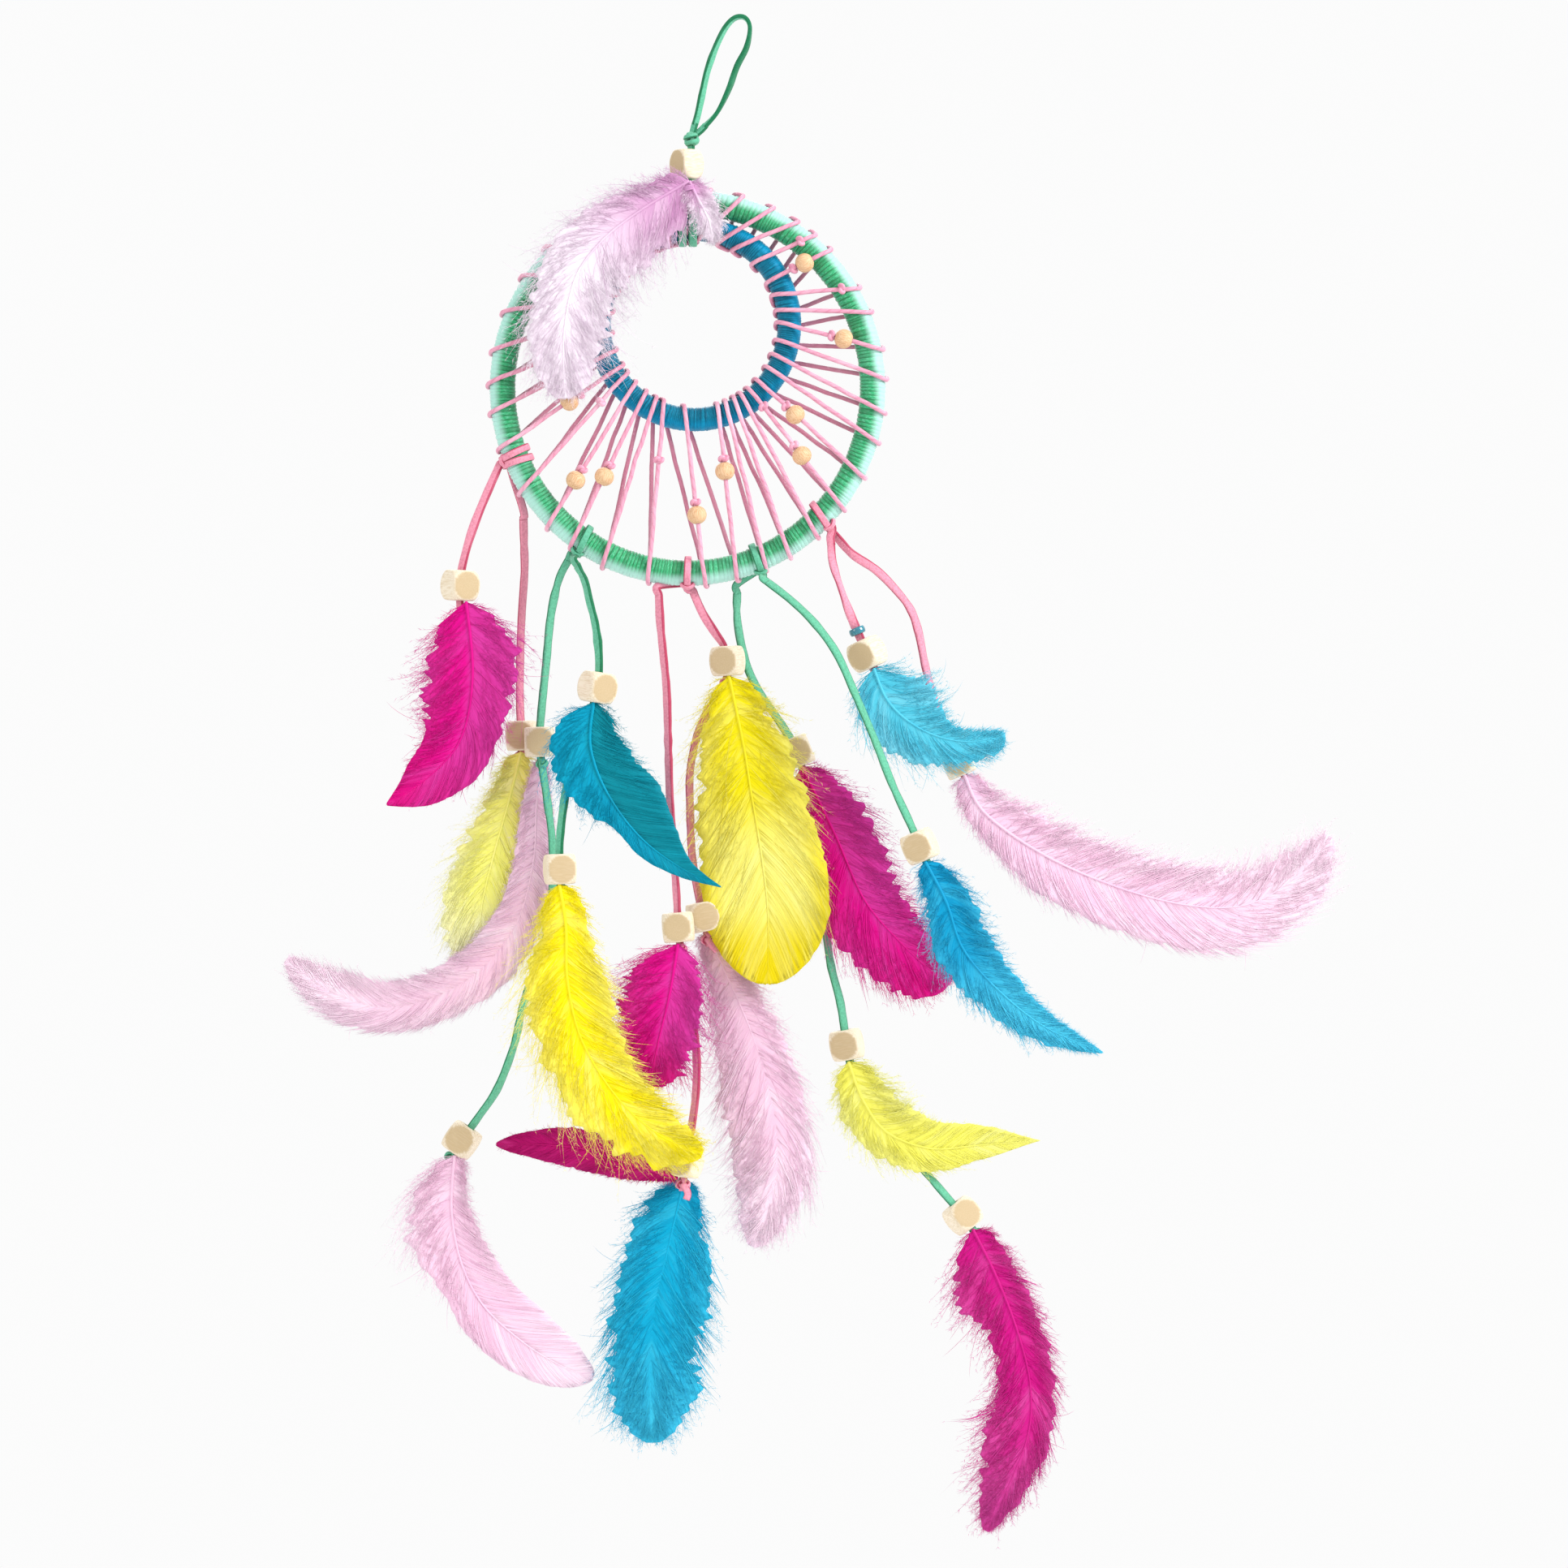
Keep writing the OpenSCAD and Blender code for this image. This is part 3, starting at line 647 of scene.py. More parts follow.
# clock angle of each wrap on the small hoop and on the large one, and the share of the front stretch
# between them where a round bead sits
turns = [
    (9, 14), (22, 23), (33, 31), (47, 38), (61, 45, 0.66), (72, 58), (82, 66), (91, 77, 0.69), (102, 86),
    (112, 96), (121, 105), (132, 116, 0.34), (140, 127, 0.58), (147, 138), (153, 148), (159, 156),
    (165, 165, 0.37), (185, 175, 0.63), (199, 192), (206, 206), (214, 217, 0.56), (223, 226, 0.71),
    (232, 239), (239, 253, 0.42), (250, 264), (261, 273), (274, 283), (286, 295), (298, 307), (310, 318),
    (321, 330), (332, 343), (345, 355), (357, 5)]
# other knots: a wrap's angle on the small hoop, and the share of its front stretch where the knot is
webKnots = ((199, 0.3), (232, 0.2), (250, 0.45), (140, 0.1), (72, 0.95), (47, 0.97))


def onHoop(hoop, degrees):
    # the tube's middle, centre + ring * (sin, cos) of the clock angle, and the way out from the centre
    facts, a = hoops[hoop], math.radians(degrees)
    middle = np.array([facts["centre"][0] + facts["ring"] * math.sin(a), 0.0,
                       facts["centre"][1] + facts["ring"] * math.cos(a)])
    return middle, unit(middle - np.array([facts["centre"][0], 0, facts["centre"][1]]))


def overTube(hoop, degrees, along, inward, share, side):
    # a point of the cord as it goes over a tube: radius * share / |along . spoke| along the stretch, and
    # radius * root of (1 - share^2) in front (side -1) or behind (side 1)
    middle, spoke = onHoop(hoop, degrees)
    radius = hoops[hoop]["tube"] + web["cord"]
    reach = radius * share * inward / max(0.6, abs(float(along @ spoke)))
    return middle + along * reach + np.array([0, side * radius * math.sqrt(1 - share ** 2), 0])


def stretchPoints(small, large, side):
    along = unit(onHoop("outer", large)[0] - onHoop("inner", small)[0])
    inner = [overTube("inner", small, along, -1, share, side) for share in (0.97, 0.8, 0.45, 0.0)]
    outer = [overTube("outer", large, along, 1, share, side) for share in (0.0, 0.45, 0.8, 0.97)]
    return inner + outer


def webRoute():
    # one cord: over the front from the small hoop to the large one, then back behind to the next wrap
    points, back = [], []
    for n, turn in enumerate(turns):
        forth = stretchPoints(turn[0], turn[1], -1)
        points += forth
        back += [0.0] * len(forth)
        if n + 1 < len(turns):
            home = stretchPoints(turns[n + 1][0], turn[1], 1)[::-1]
            points += home
            back += [1.0] * len(home)
    return np.array(points), np.array(back)


def cordLook():
    # two plies twist round each other; wax fills the hollows, which are darkened with painted shade;
    # stretches behind the hoops are darkened with painted shade too
    look = Look("waxedCord")
    ply = look.attribute("ply")
    back = look.attribute("back")
    where = look.place()
    fuzz = look.noise(where, 1400, 3, 0.6)
    drift = look.noise(where, 70, 2)
    # painted shade: darker in the hollows between the plies, lighter on their crowns
    colour = look.mix(look.span(ply, -1.0, 0.4) * 0.7 + 0.3, dye(196, 108, 140), dye(218, 148, 172))
    colour = look.mix(look.span(drift, 0.45, 0.7) * 0.5, colour, dye(238, 190, 208))
    # painted shade on the stretches of cord that run behind the hoops
    colour = look.mix(back * 0.75, colour, dye(186, 110, 136))
    colour = look.mix(look.span(fuzz, 0.58, 0.75) * 0.3, colour, dye(250, 222, 232))
    return look.finish(Base_Color=colour, Roughness=0.38 + fuzz * 0.2, Specular_IOR_Level=0.5,
                       Sheen_Weight=0.2, Normal=look.bump(fuzz, 0.3, 0.0002))


looks["cord"] = cordLook()


def pliedTube(path, radius, upward, closed=False, **marks):
    # round outline pressed in a little twice per turn: radius * (0.95 + 0.06 |cos(turn - run * twist)|)
    run = lengthAlong(path)[:, None]
    turn = wholeTurn(web["sides"])[None]
    ply = np.abs(np.cos(turn - run * web["twist"]))
    outline = radius * (0.95 + 0.06 * ply)[..., None] * np.stack([np.cos(turn + 0 * run),
                                                                  np.sin(turn + 0 * run)], -1)
    made = sweep(path, outline, upward, closed, **marks)
    made["marks"]["ply"] = np.resize(2 * ply.ravel() - 1, len(made["points"]))
    return made


def softened(path, window):
    # running mean over a few points rounds the corners; the ends stay
    pad = window // 2
    kernel = np.hanning(window + 2)[1:-1]
    kernel = kernel / kernel.sum()
    wide = np.vstack([np.repeat(path[:1], pad, 0), path, np.repeat(path[-1:], pad, 0)])
    return np.stack([np.convolve(wide[:, k], kernel, "valid") for k in range(path.shape[1])], axis=1)


def trefoil(count, depth, size):
    # (sin t + 2 sin 2t, cos t - 2 cos 2t, -depth sin 3t) * size
    t = np.linspace(0, 2 * np.pi, count, endpoint=False)
    return np.stack([np.sin(t) + 2 * np.sin(2 * t), np.cos(t) - 2 * np.cos(2 * t), -depth * np.sin(3 * t)],
                    1) * size


def overhand(middle, way):
    # a small knot of the plied cord, its third direction along the stretch
    upright = frameOf(way)
    path = trefoil(72, 1.1, web["knot"]) @ upright + middle
    return pliedTube(path, web["knotCord"], unit(path - middle) + 0.35 * upright[2], True)


def beadSpot(turn, share):
    ends = stretchPoints(turn[0], turn[1], -1)
    return ends[3] + share * (ends[4] - ends[3]), unit(ends[4] - ends[3])


def makeWeb():
    random = np.random.default_rng(8)
    points, back = webRoute()
    run = lengthAlong(points)
    path = evenly(points, web["gap"])
    back = np.interp(lengthAlong(path), run, back)
    path = softened(path, 7)
    knots = np.arange(0, len(path) + 9, 9)
    wander = np.interp(np.arange(len(path)), knots, random.normal(0, 0.10, len(knots)))
    middle = np.array([hoops["outer"]["centre"][0], 0, hoops["outer"]["centre"][1] + 8])
    spoke = unit((path - middle) * np.array([1, 0, 1]))
    aroundHoop = np.stack([spoke[:, 2], 0 * spoke[:, 0], -spoke[:, 0]], 1)
    path = path + aroundHoop * wander[:, None]
    shapes = [pliedTube(path, web["cord"], aroundHoop, back=back)]
    for turn in turns:
        if len(turn) > 2:  # a bead is held by a small knot on its inner side
            spot, way = beadSpot(turn, turn[2])
            shapes.append(overhand(spot - way * (web["bead"] / 2 + 0.9), way))
    for degrees, share in webKnots:
        turn = next(t for t in turns if t[0] == degrees)
        shapes.append(overhand(*beadSpot(turn, share)))
    makePiece("web_cord", joined(shapes), looks["cord"], "hoops", ["web_lacing"])


def makeWebBeads():
    def ballDistance(way):
        # a ball a little shorter along its bore
        return web["bead"] / 2 * (1 - 0.05 * np.abs(way[..., 2]) ** 3), 0 * way[..., 0]

    made = []
    for seed, turn in enumerate(t for t in turns if len(t) > 2):
        spot, way = beadSpot(turn, turn[2])
        points, quads, flat = boredSolid(ballDistance, web["bore"], web["bead"] / 2, 28, 40)
        grain = points + np.random.default_rng(50 + seed).uniform(-40, 40, 3)
        made.append(shape(points @ frameOf(way, 17 * seed) + spot, quads, flat=flat, grain=grain))
    makePiece("web_bead_set", joined(made), looks["tanWood"], "hoops", ["web_beads"])


makeWeb()
makeWebBeads()
print("web laced")


# hitches, knots and ties
# hitches on the large hoop: colour, clock angle, strands round the tube as (offset, slant) in mm along
# the hoop, and the laces that leave each with whether they come from behind it
hitches = {"a": ("pink", 248, [(1.25, -0.4), (-1.35, 0.3)], {"a1": False, "a2": True}),
           "b": ("green", 214, [(0, -0.8)], {"b1": True, "b2": True}),
           "c": ("pink", 180, [(0, 0.15)], {"c1": True, "c2": False}),
           "d": ("green", 158, [(0, 0.1)], {"d1": True, "d2": False}),
           "e": ("pink", 134, [(0, 1.0)], {"e1": False, "e2": False})}


def flatStrip(path, outward, width, closed=False, lean=0.0):
    return sweep(path, stripOutline(width, suede["thickness"] * 0.85), outward, closed, lean=lean)


def makeHitches():
    for name, (colour, degrees, strands, leaving) in hitches.items():
        middle, out = onHoop("outer", degrees)
        along = np.cross(out, up)
        radius = hoops["outer"]["tube"] + 0.62
        shapes = []
        # a strand: middle + radius * (out cos u + front sin u) + along * (offset + slant cos u)
        u = np.linspace(0, 2 * np.pi, 72, endpoint=False)[:, None]
        ring = out * np.cos(u) + up * np.sin(u)
        for offset, slant in strands:
            path = middle + radius * ring + along * (offset + slant * np.cos(u))
            shapes.append(flatStrip(path, ring, 2.2, True, 0.22 * np.sin(2 * u[:, 0])))
        # the bight low on the front: out by radius + 0.8 - 1.3 v^2, along by 1.9 v
        v = np.linspace(-1, 1, 25)[:, None]
        facing = unit(out * 0.85 + up * 0.53)
        bight = middle + facing * (radius + 0.8 - 1.3 * v ** 2) + along * 1.9 * v
        shapes.append(flatStrip(bight, facing + along * v * 0.8, 1.6))
        for lace, behind in leaving.items():  # each lace's short end between the hitch and its first point
            route = tailPoints(lace)
            first = unit(route[1] - route[0])
            if behind:
                line = [middle - up * radius, middle + out * 2.5 - up * (radius + 0.2),
                        route[0] - first * 3.0]
            else:
                line = [middle + out * 2.4 + up * 0.4, middle + out * (radius + 0.3), route[0] - first * 2.0]
            path = evenly(smooth([*line, route[0] - first * 0.2, route[0] + first * 0.5], 8), 0.5)
            turned = np.radians(tailLaces[lace][2][0]) * np.linspace(0.4, 1, len(path))
            shapes.append(flatStrip(path, up, suede["width"] - 0.05, False, turned))
        makePiece("hitch_knot_" + name, joined(shapes), looks[colour + "Suede"], "hoops",
                  ["hitch_" + name])


def laceKnot(middle, way, size=0.62, width=1.9):
    # a trefoil in flat suede, its second direction along the lace
    path = trefoil(60, 1.15, size) @ frameOf(way, 30)[[0, 2, 1]] + middle
    return sweep(path, stripOutline(width, 1.3, 10), unit(path - middle), True)


# tags of lace below the end knots: where they lead, in mm from the knot
tags = {"a1": [(1, -2), (3, -9)], "a2": [(0, -2), (0, -4)], "b1": [(0, -2), (1, -4)],
        "b2": [(2, -4), (2, -9)], "c1": [(1.5, -3), (1, -5)], "c2": [(1, -2), (3, -4)],
        "d1": [(2, -4), (2.5, -10)], "d2": [(1, -2), (2, -4)], "e1": [(-2, -4), (-6, -9)],
        "e2": [(2, 0), (4, 1)]}


def makeKnots():
    for name, (colour, *_) in tailLaces.items():
        route = tailPoints(name)
        place = route[-2]
        shapes = [laceKnot(place + np.array([0, -0.4, 0]), route[-1] - place)]
        line = [place + np.array([0, -1.6, 0])] + [place + np.array([dx, -2.3, dz]) for dx, dz in tags[name]]
        path = evenly(smooth(line, 8), 0.6)
        shapes.append(sweep(path, stripOutline(2.2, 1.1, 12), up, lean=math.radians(20)))
        makePiece("end_knot_" + name, joined(shapes), looks[colour + "Suede"], "tail_" + name)
    for bead in ("b1_upper", "b2_upper", "c1_upper", "c2_upper", "d1_middle"):  # a knot holds each upper bead
        lace, point = cubeBeads[bead]
        colour = tailLaces[lace][0]
        route = tailPoints(lace)
        way = unit(route[point + 1] - route[point])
        made = laceKnot(middleOf("bead_" + bead) + way * 6.4, way, 0.5, 1.7)
        makePiece("bead_knot_" + bead, made, looks[colour + "Suede"], "tail_" + lace)


def makeTop():
    middle = middleOf("loop_knot")
    lying = frameOf((0.25, 0, -1))
    shapes = [laceKnot(middle, (0.3, 0, -1), 0.62, 2.0)]
    ring = np.linspace(0, 2 * np.pi, 48, endpoint=False)[:, None]
    for height in (-0.9, 1.0):  # two turns of lace bind the knot
        path = middle + 1.8 * (lying[0] * np.cos(ring) + lying[1] * np.sin(ring)) - lying[2] * height
        shapes.append(sweep(path, stripOutline(1.5, 1.0, 10), unit(path - middle), True))
    route = np.array([(x, 0, z) for x, z in loopRoute])
    for start, before in ((route[0], route[1]), (route[-1], route[-2])):  # both ends run down into the knot
        way = unit(start - before)
        line = [start - way * 0.6, start + way * 1.2, middle - up * 0.3, middle + (0, 0, -3.6)]
        path = evenly(smooth(line, 8), 0.4)
        shapes.append(sweep(path, stripOutline(suede["loopWidth"] - 0.05, 1.3), up, lean=-0.6))
    makePiece("loop_knot_lace", joined(shapes), looks["greenSuede"], "knot", ["loop_knot"])
    # the strap round both hoops where they touch: half a turn over each tube, straight between
    top, low = (hoops[hoop]["centre"][1] + hoops[hoop]["ring"] for hoop in ("outer", "inner"))
    radius = hoops["outer"]["tube"] + 0.9
    u = np.linspace(0, np.pi, 24)
    over = np.stack([-radius * np.cos(u), top + radius * np.sin(u)], 1)
    under = np.stack([radius * np.cos(u), low - radius * np.sin(u)], 1)
    line = evenly(np.vstack([over, under, over[:1]]), 0.6)[:-1]
    shapes = []
    for offset in (-1.6, 1.6):
        path = np.stack([np.full(len(line), hoops["outer"]["centre"][0] + offset), line[:, 0], line[:, 1]], 1)
        outward = unit((path - path.mean(0)) * np.array([0, 1, 0.45]))
        shapes.append(flatStrip(path, outward, 2.7, True))
    stem = np.array([(middle[0] - 1.2, 0, top + radius - 0.6), (middle[0] - 1.4, 0, -45),
                     (middle[0] - 1.2, 0, -39.4)])
    shapes.append(sweep(evenly(smooth(stem, 8), 0.6), stripOutline(2.8, 1.5), up, lean=0.5))
    makePiece("top_strap", joined(shapes), looks["greenSuede"], "hoops", ["hitch_top"])


seedBead = {"ring": 2.1, "wall": 0.45, "half": 1.1}


def makeSeedBead():
    # an oval section (ring + wall cos v, half sin v) turned about the lace
    look = Look("tealGlass")
    stain = look.noise(look.place(), 500, 2)
    looks["glass"] = look.finish(Base_Color=look.mix(stain, dye(8, 70, 88), dye(40, 150, 170)),
                                 Roughness=0.12, Specular_IOR_Level=0.7, Coat_Weight=0.6,
                                 Coat_Roughness=0.05)
    u = np.linspace(0, 2 * np.pi, 40, endpoint=False)[:, None]
    v = np.linspace(0, 2 * np.pi, 20, endpoint=False)[None]
    out = seedBead["ring"] + seedBead["wall"] * np.cos(v)
    points = np.stack([out * np.cos(u), out * np.sin(u), seedBead["half"] * np.sin(v) + 0 * u], -1)
    route = tailPoints("e1")
    made = shape(points.reshape(-1, 3) @ frameOf(route[5] - route[3]) + middleOf("seed_bead"),
                 gridFaces(40, 20, True))
    makePiece("seed_bead_glass", made, looks["glass"], "tail_e1", ["seed_bead"])


makeHitches()
makeKnots()
makeTop()
makeSeedBead()
print("hitches and knots tied")


# feathers
def featherLook(name, core, edge, shade, tip, through, fade=(0.55, 1.0), tinted=None, highlightPatch=None):
    # core dye by the quill and on the closed vane, paler down outside, with painted shade between the barbs.
    # The streaks
    # follow each barb: comb is where along the quill, in mm, it starts. tinted is a dye and how much of it
    # the left and the right of the quill take; the patch dye is a painted highlight that fills the middle
    # part of the vane
    look = Look(name)
    out, along, tone, down, comb = (look.attribute(mark) for mark in ("out", "along", "tone", "down", "comb"))
    strand = look.node("CombineXYZ", None, {0: comb, 1: out * 0.8, 2: along * 2})
    streak = look.noise(strand, 1.6, 4, 0.7)
    drift = look.noise(strand, 0.16, 2, 0.5)
    colour = look.mix(look.span(out, 0.25, 1.0) * (0.15 + 0.6 * down), core, edge)
    if tinted:
        tint, left, right = tinted
        colour = look.mix(look.attribute("hand") * (right - left) + left, colour, tint)
    colour = look.mix(look.span(along, *fade) * 0.85, colour, tip)
    # painted highlight: a pale patch over the middle part of the vane
    if highlightPatch:
        middle = look.span(along, 0.35, 0.6) * look.span(along, 0.9, 0.72) * look.span(out, 0.9, 0.55)
        colour = look.mix(middle * 0.9, colour, highlightPatch)
    colour = look.mix(look.span(drift, 0.45, 0.75) * 0.45, colour, edge)
    colour = look.mix(look.span(tone, 0.4, 0.0) * 0.25, colour, shade)
    colour = look.mix(look.span(tone, 0.6, 1.0) * (0.10 + 0.4 * down), colour, edge)
    # painted shade in the streaks between the barbs
    colour = look.mix(look.span(streak, 0.50, 0.36) * 0.4, colour, shade)
    colour = look.mix(look.span(streak, 0.54, 0.7) * (0.15 + 0.35 * down), colour, edge)
    look.finish(Base_Color=colour, Roughness=0.5 + 0.2 * down, Specular_IOR_Level=0.12,
                Normal=look.bump(streak, 0.4, 0.0004))
    return look.letThrough(0.18, through)


featherLooks = {
    # slot, and the dyes: core, outer down, shade, tip, and light let through
    "magenta": ("magenta", (224, 0, 142), (214, 74, 172), (184, 0, 114), (220, 0, 128), (240, 10, 155)),
    "darkMagenta": ("magenta", (196, 8, 116), (206, 60, 140), (146, 0, 86), (180, 10, 102), (215, 10, 125)),
    "yellow": ("yellow", (250, 236, 4), (252, 248, 150), (236, 208, 0), (248, 234, 16), (250, 240, 40)),
    "gold": ("yellow", (240, 226, 4), (250, 246, 150), (226, 206, 0), (236, 214, 0), (250, 240, 60)),
    "paleYellow": ("pale_yellow",
                   (255, 254, 124), (255, 255, 226), (255, 246, 166), (255, 255, 250), (255, 252, 180)),
    "lemon": ("lemon", (242, 238, 100), (252, 252, 180), (222, 220, 76), (236, 232, 120), (248, 246, 130)),
    "pink": ("pink", (246, 204, 228), (255, 242, 250), (230, 178, 212), (252, 232, 244), (253, 226, 244)),
    "teal": ("teal", (0, 134, 150), (20, 176, 200), (0, 102, 120), (0, 140, 160), (0, 165, 190)),
    "cyan": ("cyan", (0, 166, 206), (70, 206, 232), (0, 124, 168), (66, 200, 232), (40, 195, 235)),
    "sky": ("cyan", (6, 156, 202), (76, 204, 232), (0, 126, 174), (84, 208, 236), (40, 195, 235)),
    "orchid": ("magenta", (206, 14, 134), (222, 96, 178), (174, 4, 110), (204, 70, 156), (235, 30, 155)),
    "turquoise": ("turquoise",
                  (84, 200, 224), (150, 226, 240), (40, 164, 196), (86, 204, 230), (100, 220, 240)),
    "lilac": ("lilac", (216, 156, 202), (252, 236, 248), (184, 136, 180), (255, 250, 255), (250, 236, 250)),
}
# where along the feather its tip dye sets in, a tint and how much the left and the right take, or a patch of
# painted highlight
featherExtras = {"magenta": {"tinted": (dye(206, 70, 168), 0.0, 0.55)},
                 "teal": {"tinted": (dye(0, 168, 208), 0.75, 0.0)},
                 "lilac": {"fade": (0.08, 0.55)}, "sky": {"fade": (0.3, 0.7)},
                 # the gold feather's pale patch is a painted highlight
                 "gold": {"highlightPatch": dye(250, 244, 132)}}
for key, (_, *dyes) in featherLooks.items():
    looks[key] = featherLook("feather" + key[0].upper() + key[1:], *[dye(*d) for d in dyes],
                             **featherExtras.get(key, {}))


